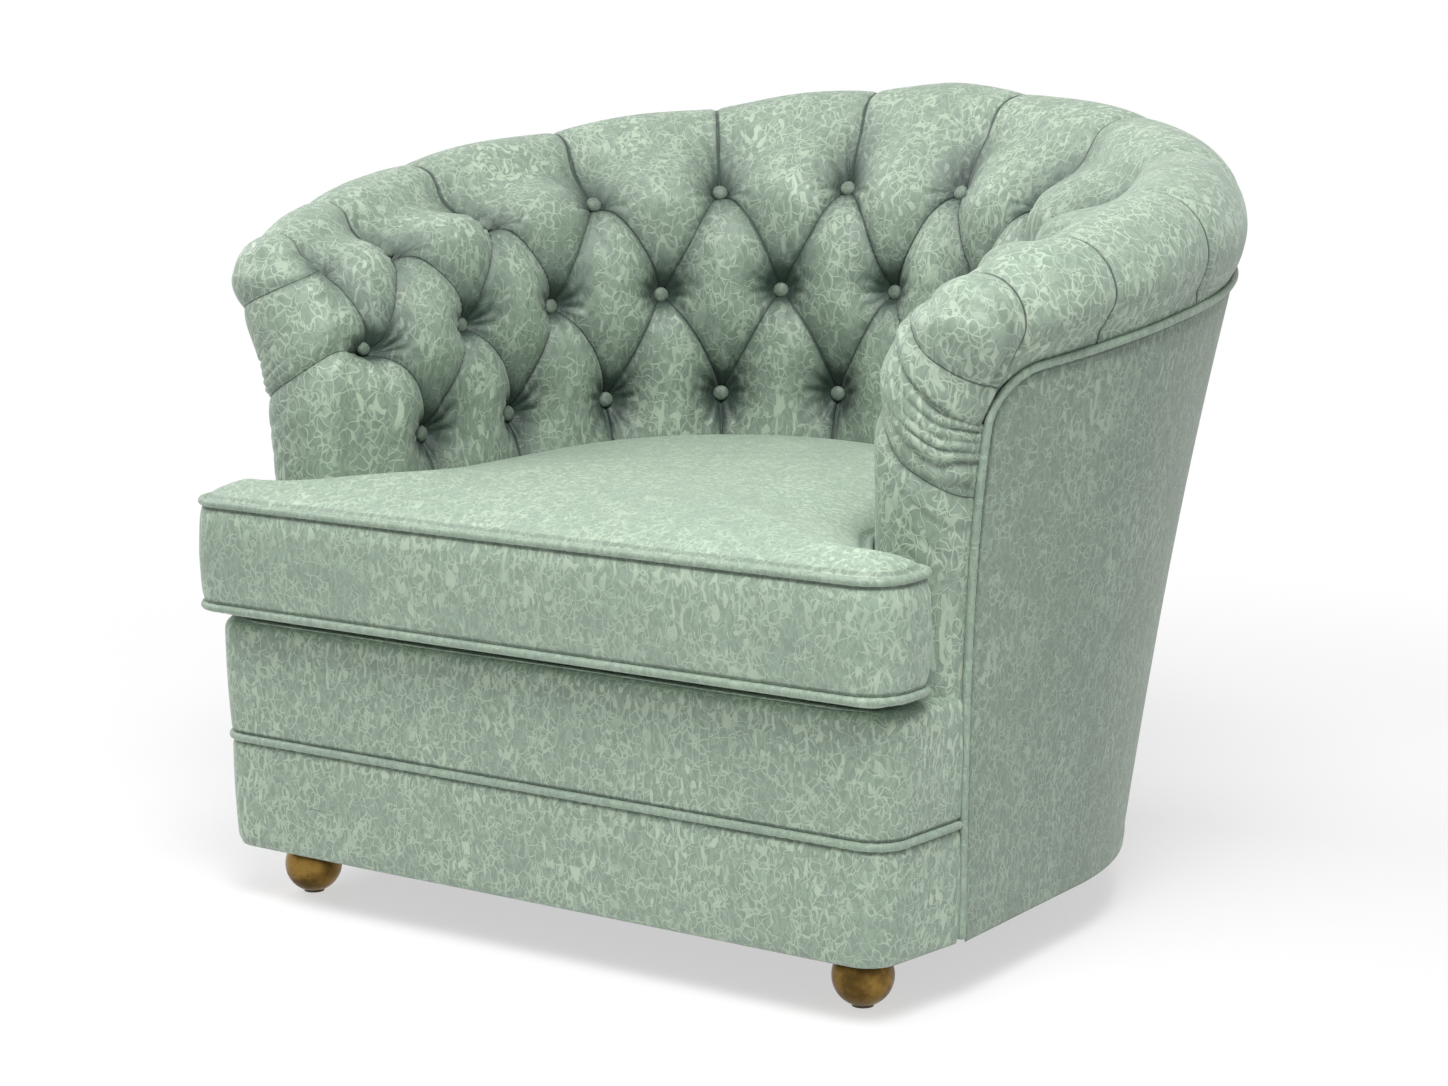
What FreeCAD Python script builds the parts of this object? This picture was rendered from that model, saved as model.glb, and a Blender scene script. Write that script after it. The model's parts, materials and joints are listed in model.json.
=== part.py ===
"""Tufted barrel-back club chair with a loose T-shaped seat cushion and brass ball feet.

Millimetres. +Z is up, the front faces -Y, and the left arm is at -X.
The origin is on the floor, in the middle of the overall footprint.
The barrel is drawn in stations: upright planes that stand square to the horseshoe plan. One step
is one button pitch, counted from the middle of the back: whole steps carry the middle row of
buttons, and half steps the top and bottom rows.
"""
import FreeCAD, Part

import math
import os

from FreeCAD import Vector

SIZES = (
    # overall
    ("overall_width", 896.0, "across the rolled back at its widest, between folds"),
    ("overall_depth", 777.0, "front of the cushion to the back of the roll"),
    ("overall_height", 711.0, "floor to the top of the roll at the middle of the back"),
    ("arm_height", 588.0, "floor to the top of the roll at the front of an arm"),
    ("clearance", 0.3, "gap where two soft or curved faces would otherwise touch"),
    # barrel
    ("barrel_flare", 96.0, "how far the shell leans out from its foot to the roll"),
    ("outside_tuck", 4.0, "outside welt inside the outermost roll, at the back"),
    ("wall_depth", 199.0, "inside crest to the outermost roll, in plan"),
    ("roll_back", 66.0, "radius of the roll at the middle of the back"),
    ("roll_front", 47.0, "radius of the roll at the front of an arm"),
    ("roll_toe_in", 43.0, "how far the roll comes in towards the front of an arm"),
    ("arm_front_flare", 45.0, "how far the outside leans out at the seam"),
    ("seam_setback", 105.0, "front of the base to the outside seam"),
    ("cover_thickness", 2.0, "upholstery cloth with its thin lining"),
    ("liner_thickness", 4.0, "board under the outside cover"),
    ("welt_radius", 3.5, "radius of the piping"),
    ("welt_groove", 8.0, "width of the slot that the piping lies in"),
    ("welt_turn", 39.0, "size of the bend where the seam piping turns back under the roll"),
    # tufting
    ("button_turn", 24.33, "degrees of barrel from one button to the next"),
    ("arm_steps", 1.527, "button spacings along a straight arm, up to the seam"),
    ("button_radius", 8.0, "radius of a covered button"),
    ("button_dome", 6.0, "height of a covered button"),
    ("button_sink", 2.0, "how deep a button pulls into its pinch"),
    ("top_row_below", 97.0, "top of the roll down to the top buttons"),
    ("middle_row_below", 196.0, "top of the roll down to the middle buttons"),
    ("bottom_row_below", 297.0, "top of the roll down to the bottom buttons"),
    ("top_row_set", 45.0, "top buttons outside the inside crest"),
    ("middle_row_set", 24.0, "middle buttons outside the inside crest"),
    ("bottom_row_set", 20.0, "bottom buttons outside the inside crest"),
    ("pinch_height", 14.0, "height of the pinch at a middle button"),
    ("fold_rise", 5.0, "how much shallower a fold is half way between two buttons"),
    ("fold_depth", 6.0, "depth of the folds over the roll"),
    ("wall_bottom", 228.0, "floor to the lower edge of the inside padding"),
    # seat cushion
    ("cushion_overhang", 27.0, "cushion past the front of the base"),
    ("cushion_bulge", 7.0, "how far the boxing swells past the seams"),
    ("cushion_belly", 14.0, "bottom seam above the deck"),
    ("boxing_height", 90.0, "between the two seams of the cushion"),
    ("cushion_crown", 42.0, "middle of the top above the top seam"),
    ("ear_inset", 86.0, "cushion ears inside the outermost roll, in plan"),
    ("ear_corner", 38.0, "radius of the cushion's front corners"),
    ("ear_back_corner", 28.0, "radius of an ear's back corner"),
    ("notch_turn", 29.0, "radius where the cushion goes round an arm front"),
    ("notch_end_turn", 60.0, "radius where the cushion meets the inside arm"),
    ("arm_front_gap", 4.0, "between the cushion and an arm front"),
    ("cushion_gap", 4.0, "between the cushion and the inside arms"),
    ("zip_room", 6.0, "extra room behind the cushion for its zip"),
    ("zip_height", 14.0, "width of the zip tape"),
    ("zip_thickness", 1.4, "thickness of the zip"),
    ("zip_turn", 100.0, "degrees of the cushion's round back that the zip opens"),
    ("slider_length", 12.0, "zip slider along the zip"),
    ("slider_height", 9.0, "zip slider across the zip"),
    ("slider_thickness", 3.0, "zip slider"),
    # base
    ("deck_height", 254.0, "floor to the deck under the cushion"),
    ("base_inset", 24.0, "front corners of the base, at their foot, inside the cushion ears"),
    ("base_spread", 14.0, "how much wider each side of the front is at the deck"),
    ("base_corner", 30.0, "radius of the base's front corners"),
    ("band_top", 148.0, "floor to the welt over the lower band"),
    ("cover_bottom", 52.0, "floor to the lower edge of the covers"),
    ("frame_bottom", 54.0, "floor to the underside of the wooden frame"),
    ("rail_top", 214.0, "floor to the top of the seat rails"),
    ("rail_thickness", 28.0, "thickness of the seat rails"),
    ("front_padding", 8.0, "felt round the front of the base"),
    ("edge_roll", 44.0, "depth of the stuffed front edge"),
    # frame above the seat rails
    ("rib_width", 28.0, "width of a back rib"),
    ("rib_depth", 26.0, "depth of a back rib or arm post"),
    ("rib_lean", 22.0, "how far a back rib leans out on its way to the top rail"),
    ("post_lean", 10.0, "how far an arm post leans out on its way to the top rail"),
    ("post_width", 50.0, "front-to-back size of an arm post"),
    ("top_rail_thickness", 25.0, "thickness of the bent top rail"),
    ("roll_padding", 22.0, "padding either side of the top rail"),
    ("lip_thickness", 8.0, "padding at the lower outside edge of the roll"),
    # arm fronts
    ("arm_front_depth", 37.0, "how far an arm front stands ahead of its post"),
    ("arm_front_width", 78.0, "width of an arm front at the seam"),
    ("arm_front_inset", 23.0, "middle of an arm front inside the front corners of the base"),
    # deck suspension
    ("spring_wire", 3.8, "wire of the zigzag springs"),
    ("spring_width", 50.0, "width of a zigzag spring"),
    ("spring_loop", 11.0, "radius of a zigzag loop"),
    ("spring_spacing", 92.0, "between two springs"),
    ("clip_thickness", 2.0, "steel of a spring clip"),
    ("burlap_thickness", 1.5, "burlap over the springs and inside the back"),
    # feet
    ("ball_diameter", 50.8, "ball foot"),
    ("foot_setback", 58.0, "front feet behind the front of the base"),
    ("foot_inset", 48.0, "front feet inside the front corners of the base"),
    ("rear_foot_turn", 47.0, "degrees from the middle of the back to a rear foot"),
    ("rear_foot_inset", 68.0, "rear feet inside the foot of the barrel"),
    ("glide_radius", 9.0, "nylon glide let into the ball"),
    ("glide_height", 3.0, "nylon glide"),
    ("collar_radius", 12.0, "brass collar on top of the ball"),
    ("stud_radius", 4.0, "threaded stud of a foot"),
    ("stud_depth", 20.0, "threaded stud inside the ball"),
    ("stud_length", 36.0, "threaded stud above the frame's underside"),
    ("thread_clearance", 0.15, "around the studs and screws"),
    ("nut_radius", 6.0, "barrel of a T-nut"),
    ("nut_flange_radius", 9.0, "flange of a T-nut"),
    ("nut_flange_thickness", 1.5, "flange of a T-nut"),
    ("block_height", 45.0, "corner blocks that carry the feet"),
    ("block_size", 62.0, "side of a corner block"),
    ("screw_radius", 2.4, "corner block screw"),
    ("screw_length", 56.0, "corner block screw"),
    ("screw_head_radius", 4.6, "corner block screw"),
    ("screw_head_height", 2.6, "corner block screw"),
    ("dust_cover_thickness", 0.8, "black cambric under the frame"),
    ("tack_head_radius", 4.5, "tack that holds the dust cover"),
    ("tack_head_thickness", 0.8, "tack that holds the dust cover"),
    ("tack_shank_radius", 0.9, "tack that holds the dust cover"),
    ("tack_length", 10.0, "tack that holds the dust cover"),
)

doc = FreeCAD.newDocument("club_chair")
sheet = doc.addObject("Spreadsheet::Sheet", "Sizes")
for row_number, (alias, value, note) in enumerate(SIZES, 1):
    sheet.set("A%d" % row_number, note)
    sheet.set("B%d" % row_number, str(value))
    sheet.setAlias("B%d" % row_number, alias)
doc.recompute()

SUBPARTS = []


def size(alias):
    """The number that the sheet holds under this alias."""
    return float(sheet.get(alias))


def bind(thing, **formulas):
    """Ties properties to the sheet; __ in a name is a dot, and @ in a formula is the sheet."""
    for prop, formula in formulas.items():
        thing.setExpression(prop.replace("__", "."), formula.replace("@", "Sizes."))
    return thing


def publish(shape, label):
    """Adds a computed solid, or a group of like solids, as a sub-part."""
    part = doc.addObject("Part::Feature", label)
    part.Label = label
    part.Shape = shape
    SUBPARTS.append(part)
    return part


def keep(thing, label):
    """Marks a document object as a sub-part under its own label."""
    thing.Label = label
    SUBPARTS.append(thing)
    return thing


GAP = size("clearance")
OUTER_RADIUS = size("overall_width") / 2
FOOT_RADIUS = OUTER_RADIUS - size("barrel_flare")
CREST_RADIUS = OUTER_RADIUS - size("wall_depth")
BARREL_Y = size("overall_depth") / 2 - OUTER_RADIUS
FRONT_Y = size("cushion_overhang") - size("overall_depth") / 2
SEAM_Y = FRONT_Y + size("seam_setback")
HALF_GROOVE = size("welt_groove") / 2
NOSE_Y = SEAM_Y - HALF_GROOVE
EAR_HALF_WIDTH = OUTER_RADIUS - size("ear_inset")
BASE_HALF_WIDTH = EAR_HALF_WIDTH - size("base_inset")
ARM_FRONT_MIDDLE = BASE_HALF_WIDTH - size("arm_front_inset")
FOOT_HALF_SPAN = BASE_HALF_WIDTH - size("foot_inset")
REAR_FOOT_RADIUS = FOOT_RADIUS - size("rear_foot_inset")

# Stations where the barrel turns into the arms, at the seam and at the arm fronts
QUARTER_STEPS = 90.0 / size("button_turn")
SEAM_STEP = QUARTER_STEPS + size("arm_steps")
BUTTON_PITCH = (BARREL_Y - SEAM_Y) / size("arm_steps")
NOSE_STEP = SEAM_STEP + HALF_GROOVE / BUTTON_PITCH
COVER_STEP = SEAM_STEP - HALF_GROOVE / BUTTON_PITCH
TURN_STEPS = size("welt_turn") / BUTTON_PITCH
BACK_STEP = 2.5
RIB_STEPS = (-3.3, -2.2, -1.08, 1.08, 2.2, 3.3)
STEP_PITCH = 0.25

# Shape constants of the fitted curves
ROW_DROP_POWER = 1.77
ROW_DROP_STEPS = 6.0
ROLL_DROP_POWER = 1.35
TOE_IN_POWER = 1.8
WELT_BELOW_ROLL = 0.8
FLARE_STRAIGHT = 0.7
ARM_FLARE_POWER = 4
ROLL_INNER_ANGLE = math.radians(150)
NOSE_SLOPE = 0.6
NOSE_LINE = ARM_FRONT_MIDDLE - size("arm_front_width") / 2 + NOSE_SLOPE * (NOSE_Y - FRONT_Y) + GAP
TOP_ROW_DROP, MIDDLE_ROW_DROP, BOTTOM_ROW_DROP = 0.62, 0.34, 0.19
BUTTON_RIM = 0.4
LAST_BUTTON_BACK = 0.06


def station(step):
    """Foot and outward direction of the upright plane at this step."""
    side = -1.0 if step < 0 else 1.0
    turn = min(abs(step), QUARTER_STEPS) * math.radians(size("button_turn"))
    ahead = max(abs(step) - QUARTER_STEPS, 0.0) * BUTTON_PITCH
    return Vector(0, BARREL_Y - ahead, 0), Vector(side * math.sin(turn), math.cos(turn), 0)


def place(step, r, z):
    """The point at radius r and height z in a station."""
    foot, outward = station(step)
    return foot + outward * r + Vector(0, 0, z)


def forward_share(step):
    """0 on the barrel, rising to 1 at the arm front."""
    ahead = max(abs(step) - QUARTER_STEPS, 0.0)
    return min(ahead / (NOSE_STEP - QUARTER_STEPS), 1.0) ** TOE_IN_POWER


def roll(step):
    """Centre radius, centre height and radius of the rolled top at a station."""
    fall = min(abs(step) / NOSE_STEP, 1.0) ** ROLL_DROP_POWER
    radius = size("roll_back") + (size("roll_front") - size("roll_back")) * fall
    crest = size("overall_height") + (size("arm_height") - size("overall_height")) * fall
    reach = OUTER_RADIUS - size("roll_toe_in") * forward_share(step)
    return reach - radius, crest - radius, radius


def welt_height(step):
    """Height of the outside welt under the roll."""
    _, height, radius = roll(step)
    return height - WELT_BELOW_ROLL * radius


def bend_height(step, edge):
    """Height of the outside welt's line, which bends down to the seam at the given edge step."""
    into = 1 - (edge - min(abs(step), edge)) / (TURN_STEPS - SEAM_STEP + edge)
    low = welt_height(SEAM_STEP) - size("welt_turn")
    return low + (welt_height(step) - low) * math.sqrt(1 - max(into, 0.0) ** 2)


def shell_radius(step, z):
    """Outer face of the outside cover."""
    rise = (z - size("cover_bottom")) / (welt_height(0) - size("cover_bottom"))
    lean = size("barrel_flare") - size("outside_tuck")
    barrel = lean * (FLARE_STRAIGHT * rise + (1 - FLARE_STRAIGHT) * rise * rise)
    upright = size("arm_front_flare") * max(rise, 0.0) ** ARM_FLARE_POWER
    share = forward_share(step)
    return FOOT_RADIUS + barrel * (1 - share) + upright * share


def row_height(below, share, step):
    """Height of a row of buttons that drops this share of the roll's fall to the front."""
    fall = (size("overall_height") - size("arm_height")) * share
    return size("overall_height") - size(below) - fall * (abs(step) / ROW_DROP_STEPS) ** ROW_DROP_POWER


def top_row(step):
    """Radius and height of the top row; it meets the inside of the roll at the arm fronts."""
    centre, _, radius = roll(step)
    back = CREST_RADIUS + size("top_row_set")
    inward = (centre - radius - back) * forward_share(step)
    return back + inward, row_height("top_row_below", TOP_ROW_DROP, step)


def middle_row(step):
    """Radius and height of the middle row."""
    height = row_height("middle_row_below", MIDDLE_ROW_DROP, step)
    return CREST_RADIUS + size("middle_row_set") + wall_recess(step), height


def bottom_row(step):
    """Radius and height of the bottom row."""
    height = row_height("bottom_row_below", BOTTOM_ROW_DROP, step)
    return CREST_RADIUS + size("bottom_row_set") + wall_recess(step), height


def wall_recess(step):
    """How far the inside wall has drawn back from its crest on the way round the arm front."""
    y = station(step)[0].y
    if abs(step) < QUARTER_STEPS:
        return 0.0
    return max(NOSE_LINE - NOSE_SLOPE * (y - FRONT_Y) - CREST_RADIUS, 0.0)


def rib_front(step, z):
    """Front face of the ribs and posts that the inside padding leans on."""
    lean = size("rib_lean") + (size("post_lean") - size("rib_lean")) * forward_share(step)
    foot = FOOT_RADIUS - size("cover_thickness") - size("liner_thickness") - size("rib_depth") - 3.0
    span = roll(0)[1] - size("rail_top")
    return foot + lean * (z - size("rail_top")) / span


def rail_box(step):
    """Inner and outer radius, lower and upper height of the space for the top rail."""
    centre, height, radius = roll(step)
    half = radius - size("roll_padding")
    top = height + size("top_rail_thickness") / 3
    return centre - half, centre + half, top - size("top_rail_thickness"), top


def arc(start, middle, end):
    """Edge through three points."""
    return Part.Arc(start, middle, end).toShape()


def ring(corners):
    """Closed wire of straight runs."""
    return Part.makePolygon(list(corners) + [corners[0]])


def rounded_outline(corners, z):
    """Closed wire at height z through (x, y, radius) corners; straight runs that vanish are left out."""
    ends = []
    for i, (x, y, radius) in enumerate(corners):
        here = Vector(x, y, z)
        back = (Vector(corners[i - 1][0], corners[i - 1][1], z) - here).normalize()
        after = corners[(i + 1) % len(corners)]
        onward = (Vector(after[0], after[1], z) - here).normalize()
        half = back.getAngle(onward) / 2
        reach = radius / math.tan(half)
        inward = (back + onward).normalize() if radius else Vector(0, 0, 0)
        crown = here + inward * (radius / math.sin(half) - radius)
        ends.append((here + back * reach, crown, here + onward * reach, radius))
    edges = []
    for i, (start, crown, end, radius) in enumerate(ends):
        if radius:
            edges.append(arc(start, crown, end))
        following = ends[(i + 1) % len(ends)][0]
        if end.distanceToPoint(following) > 0.01:
            edges.append(Part.LineSegment(end, following).toShape())
    return Part.Wire(edges)


def slab(wire, height):
    """Flat piece that stands on a closed wire."""
    return Part.Face(wire).extrude(Vector(0, 0, height))


def steps_between(first, last):
    """Every quarter step between two stations, more of them where the welt bends, and both ends."""
    bend_start = SEAM_STEP - TURN_STEPS
    inner = [i * STEP_PITCH for i in range(-24, 25) if abs(i * STEP_PITCH) < bend_start - 0.03]
    for degrees in (0, 30, 45, 60, 75):
        step = COVER_STEP - (TURN_STEPS - SEAM_STEP + COVER_STEP) * (1 - math.sin(math.radians(degrees)))
        inner += [-step, step]
    return [first] + [s for s in sorted(inner) if first + 0.01 < s < last - 0.01] + [last]


def along_barrel(first, last, section):
    """Solid through the wires that section(step) gives."""
    return Part.makeLoft([section(s) for s in steps_between(first, last)], True, True)


def strip(first, last, profile):
    """Straight-sided solid round the barrel; profile(step) gives (r, z) corners."""
    return along_barrel(first, last, lambda s: ring([place(s, r, z) for r, z in profile(s)]))


def tube(points, radius):
    """Eight-sided tube through points."""
    wires = []
    sideways = None
    for i, point in enumerate(points):
        ahead = (points[min(i + 1, len(points) - 1)] - points[max(i - 1, 0)]).normalize()
        seed = sideways if sideways else Vector(1, 0, 0) if abs(ahead.x) < 0.9 else Vector(0, 0, 1)
        up = ahead.cross(seed).normalize()
        sideways = up.cross(ahead).normalize()
        turns = [math.radians(45.0 * n) for n in range(8)]
        spokes = [sideways * math.cos(a) + up * math.sin(a) for a in turns]
        wires.append(ring([point + spoke * radius for spoke in spokes]))
    return Part.makeLoft(wires, True, True)


def box(x0, x1, y0, y1, z0, z1):
    """Upright box between two corners."""
    return Part.makeBox(x1 - x0, y1 - y0, z1 - z0, Vector(x0, y0, z0))


def tuft(step):
    """1 at the steps of the top and bottom buttons, 0 at those of the middle row."""
    distance = abs(step)
    last_whole = math.floor(NOSE_STEP)
    if distance > last_whole:
        return (distance - last_whole) / (NOSE_STEP - last_whole)
    return 1 - 2 * abs(distance - math.floor(distance) - 0.5)


def between(low, high, share):
    """Linear step from one value or (r, z) pair to another."""
    if isinstance(low, tuple):
        return tuple(a + (b - a) * share for a, b in zip(low, high))
    return low + (high - low) * share


def wall_section(step):
    """Outline of the inside padding with its roll: pinched at the buttons, full between them."""
    share = tuft(step)
    centre, height, radius = roll(step)
    full = radius - size("fold_depth") * share * share
    recess = wall_recess(step)
    crest = CREST_RADIUS + recess
    top, middle, bottom = top_row(step), middle_row(step), bottom_row(step)
    half_pinch = size("pinch_height") / 2
    rise = size("fold_rise") * 4 * share * (1 - share)
    upper = between((middle[0], middle[1] + half_pinch), top, share)
    lower = between((middle[0], middle[1] - half_pinch), bottom, share)
    upper = (upper[0] - rise, upper[1])
    lower = (lower[0] - rise, lower[1])
    belly = (between(middle[0], crest + 1, share ** 0.6), middle[1])
    shelf = (crest + 2, bottom[1] - 42)
    inner = (centre + full * math.cos(ROLL_INNER_ANGLE), height + full * math.sin(ROLL_INNER_ANGLE))
    rail_in, rail_out, rail_low, rail_high = rail_box(step)
    welt = bend_height(step, NOSE_STEP) + HALF_GROOVE
    lip = shell_radius(step, welt)
    back = rib_front(step, size("wall_bottom")) - size("burlap_thickness") - 2 * GAP
    upper_back = min(rail_in, rib_front(step, rail_low) - size("burlap_thickness") - 2 * GAP)

    def at(point):
        return place(step, point[0], point[1])

    def bowed(start, end, bow):
        """Arc from start to end that stands out towards the seat."""
        dr, dz = end[0] - start[0], end[1] - start[1]
        length = math.hypot(dr, dz)
        middle_r = (start[0] + end[0]) / 2 + bow * dz / length
        middle_z = (start[1] + end[1]) / 2 - bow * dr / length
        return arc(at(start), at((middle_r, middle_z)), at(end))

    def turned(start, end, angle):
        """Quarter of the roll that passes the given angle from its outer side."""
        middle = (centre + full * math.cos(angle), height + full * math.sin(angle))
        return arc(at(start), at(middle), at(end))

    outermost = (centre + full, height)
    crown = (centre, height + full)
    outline = [
        bowed((lip, welt), outermost, -2.0),
        turned(outermost, crown, math.radians(45)),
        turned(crown, inner, (ROLL_INNER_ANGLE + math.radians(90)) / 2),
        bowed(inner, upper, between(13.0, 3.0, share)),
        bowed(upper, belly, between(0.5, 9.0, share)),
        bowed(belly, lower, between(0.5, 8.0, share)),
        bowed(lower, shelf, between(9.0, 4.0, share)),
    ]
    corners = [
        shelf, (crest + 2, size("wall_bottom")), (back, size("wall_bottom")), (upper_back, rail_low),
        (rail_in, rail_high), (rail_out, rail_high), (rail_out, rail_low),
        (lip - size("lip_thickness"), welt), (lip, welt),
    ]
    for start, end in zip(corners, corners[1:]):
        outline.append(Part.LineSegment(at(start), at(end)).toShape())
    return Part.Wire(outline)


def button_places(row):
    """(step, r, z) of each button in a row."""
    if row == "middle":
        steps = [float(n) for n in range(-5, 6)]
        return [(s,) + middle_row(s) for s in steps]
    if row == "bottom":
        return [(n + 0.5,) + bottom_row(n + 0.5) for n in range(-5, 5)]
    last = NOSE_STEP - LAST_BUTTON_BACK
    steps = [-last] + [n + 0.5 for n in range(-5, 5)] + [last]
    return [(s,) + top_row(s) for s in steps]


def button_tilt(row):
    """How much a row's buttons look upwards."""
    return {"top": 0.55, "middle": 0.12, "bottom": 0.0}[row]


def button_axis(row, step):
    """Direction that a button faces."""
    return (station(step)[1] * -1 + Vector(0, 0, button_tilt(row))).normalize()


def button(row, step, r, z):
    """Domed button on the seat that its pinch gives it."""
    radius, dome = size("button_radius"), size("button_dome")
    axis = button_axis(row, step)
    floor = place(step, r, z) - axis * (size("button_sink") - GAP)
    rim = dome * BUTTON_RIM
    rise = dome - rim
    ball = (radius * radius + rise * rise) / (2 * rise)
    half = math.asin(radius / ball) / 2
    shoulder = Vector(ball * math.sin(half), 0, dome - ball + ball * math.cos(half))
    crown, edge = Vector(0, 0, dome), Vector(radius, 0, rim)
    sides = Part.makePolygon([crown, Vector(0, 0, 0), Vector(radius, 0, 0), edge])
    profile = Part.Wire(sides.Edges + [arc(edge, shoulder, crown)])
    shape = Part.Face(profile).revolve(Vector(0, 0, 0), Vector(0, 0, 1), 360)
    shape.Placement = FreeCAD.Placement(floor, FreeCAD.Rotation(Vector(0, 0, 1), axis))
    return shape


def button_seat(row, step, r, z):
    """The room that a button takes out of the padding."""
    axis = button_axis(row, step)
    floor = place(step, r, z) - axis * size("button_sink")
    return Part.makeCylinder(size("button_radius") + GAP, 40.0, floor, axis)


ROWS = ("top", "middle", "bottom")


def inside_padding():
    """Tufted back and arms; they meet in a fold at the top and bottom buttons."""
    seats = Part.makeCompound([button_seat(row, *spot) for row in ROWS for spot in button_places(row)])
    for label, first, last in (
        ("left_inside_arm", -NOSE_STEP, -BACK_STEP),
        ("inside_back", -BACK_STEP, BACK_STEP),
        ("right_inside_arm", BACK_STEP, NOSE_STEP),
    ):
        publish(along_barrel(first, last, wall_section).cut(seats), label)
    for row in ROWS:
        buttons = [button(row, *spot) for spot in button_places(row)]
        publish(Part.makeCompound(buttons), row + "_row_buttons")


# Arm fronts: how far ahead, and what is left there of the column's and of the roll's width
ARM_FRONT_PROFILE = (
    (0.0, 1.0, 1.0), (0.33, 0.80, 0.93), (0.64, 0.58, 0.76), (0.87, 0.35, 0.5), (1.0, 0.16, 0.24),
)
ARM_FRONT_DROP = 13.0
ARM_FRONT_SLANT = 3.0
WAIST_BELOW_ROLL = 2.4
UNDERCUT = 6.0
UNDER_LEAN, UNDER_LEAN_AHEAD = 0.45, 0.2


def arm_front_section(side, share, column, rolled):
    """Outline of an arm front; shares tell how far ahead it is and how wide it still is."""
    y = NOSE_Y - size("arm_front_depth") * share
    centre, height, radius = roll(NOSE_STEP)
    height -= ARM_FRONT_DROP * share
    radius *= rolled
    middle = ARM_FRONT_MIDDLE - ARM_FRONT_SLANT * share
    half = size("arm_front_width") / 2 * column
    foot = size("deck_height") + 2.0
    waist = height - WAIST_BELOW_ROLL * size("roll_front")

    def at(x, z):
        return Vector(side * x, y, z)

    quarter = radius * math.sqrt(0.5)
    lean = UNDER_LEAN + UNDER_LEAN_AHEAD * share
    under = at(between(middle + half, centre + radius, lean), height - 0.9 * radius - UNDERCUT)
    inner, outer = at(centre - radius, height), at(centre + radius, height)
    crown = at(centre, height + radius)
    turned = [
        arc(inner, at(centre - quarter, height + quarter), crown),
        arc(crown, at(centre + quarter, height + quarter), outer),
    ]
    round_column = [outer, under, at(middle + half, waist), at(middle + half, foot)]
    round_column += [at(middle - half, foot), at(middle - half, waist), inner]
    sides = Part.makePolygon(round_column).Edges
    return Part.Wire(sides[-2:] + turned + sides[:-2])


def arm_fronts():
    """Rounded padded fronts of both arms, over the posts."""
    for label, side in (("left_arm_front", -1), ("right_arm_front", 1)):
        sections = [arm_front_section(side, *row) for row in ARM_FRONT_PROFILE]
        publish(Part.makeLoft(sections, True, True), label)


def outside():
    """Outside cover, the board under it, and the welt that edges it."""
    thickness = size("cover_thickness")
    lined = thickness + GAP
    levels = (0.0, 0.2, 0.4, 0.6, 0.8, 1.0)

    def wall(step, bottom, top, near, far):
        heights = [between(bottom, top, share) for share in levels]
        outer = [(shell_radius(step, z) - near, z) for z in heights]
        inner = [(shell_radius(step, z) - far, z) for z in heights]
        return outer + inner[::-1]

    def cover(step):
        return wall(step, size("cover_bottom"), bend_height(step, COVER_STEP) - HALF_GROOVE, 0, thickness)

    def liner(step):
        top = bend_height(step, COVER_STEP) - HALF_GROOVE - 4.0
        return wall(step, size("frame_bottom") + 2, top, lined, lined + size("liner_thickness"))

    publish(strip(-COVER_STEP, COVER_STEP, cover), "outside_cover")
    publish(strip(-COVER_STEP, COVER_STEP, liner), "outside_liner")
    low = welt_height(SEAM_STEP) - size("welt_turn")
    proud = 0.5
    line = [(SEAM_STEP, between(size("cover_bottom") + 2, low, i / 12.0)) for i in range(13)]
    for i in range(1, 6):
        step = SEAM_STEP - TURN_STEPS * (1 - math.cos(math.radians(90.0 * i / 6)))
        line.append((step, bend_height(step, SEAM_STEP)))
    line += [(step, welt_height(step)) for step in steps_between(0, SEAM_STEP - TURN_STEPS)[::-1]]
    right = [place(step, shell_radius(step, z) + proud, z) for step, z in line]
    left = [Vector(-p.x, p.y, p.z) for p in right[:-1]]
    publish(tube(right + left[::-1], size("welt_radius")), "outside_welt")


def base_outline(z, inset, rear):
    """Outline of the front of the base at a height, square behind the given y."""
    rise = (z - size("cover_bottom")) / (size("deck_height") - size("cover_bottom"))
    front = BASE_HALF_WIDTH + size("base_spread") * rise - inset
    back = shell_radius(SEAM_STEP, z) - inset
    corner = max(size("base_corner") - inset, 4.0)
    y = FRONT_Y + inset
    return rounded_outline([(-front, y, corner), (front, y, corner), (back, rear, 0), (-back, rear, 0)], z)


def base_strip(bottom, top, near, far):
    """Strip that runs from one seam round the front to the other."""
    rear = NOSE_Y + 60
    outer = Part.makeLoft([base_outline(z, near, rear) for z in (bottom, top)], True, True)
    inner = Part.makeLoft([base_outline(z, far, rear) for z in (bottom - 1, top + 1)], True, True)
    keep_box = box(-OUTER_RADIUS, OUTER_RADIUS, -OUTER_RADIUS, NOSE_Y, bottom - 2, top + 2)
    return outer.cut(inner).common(keep_box)


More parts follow.
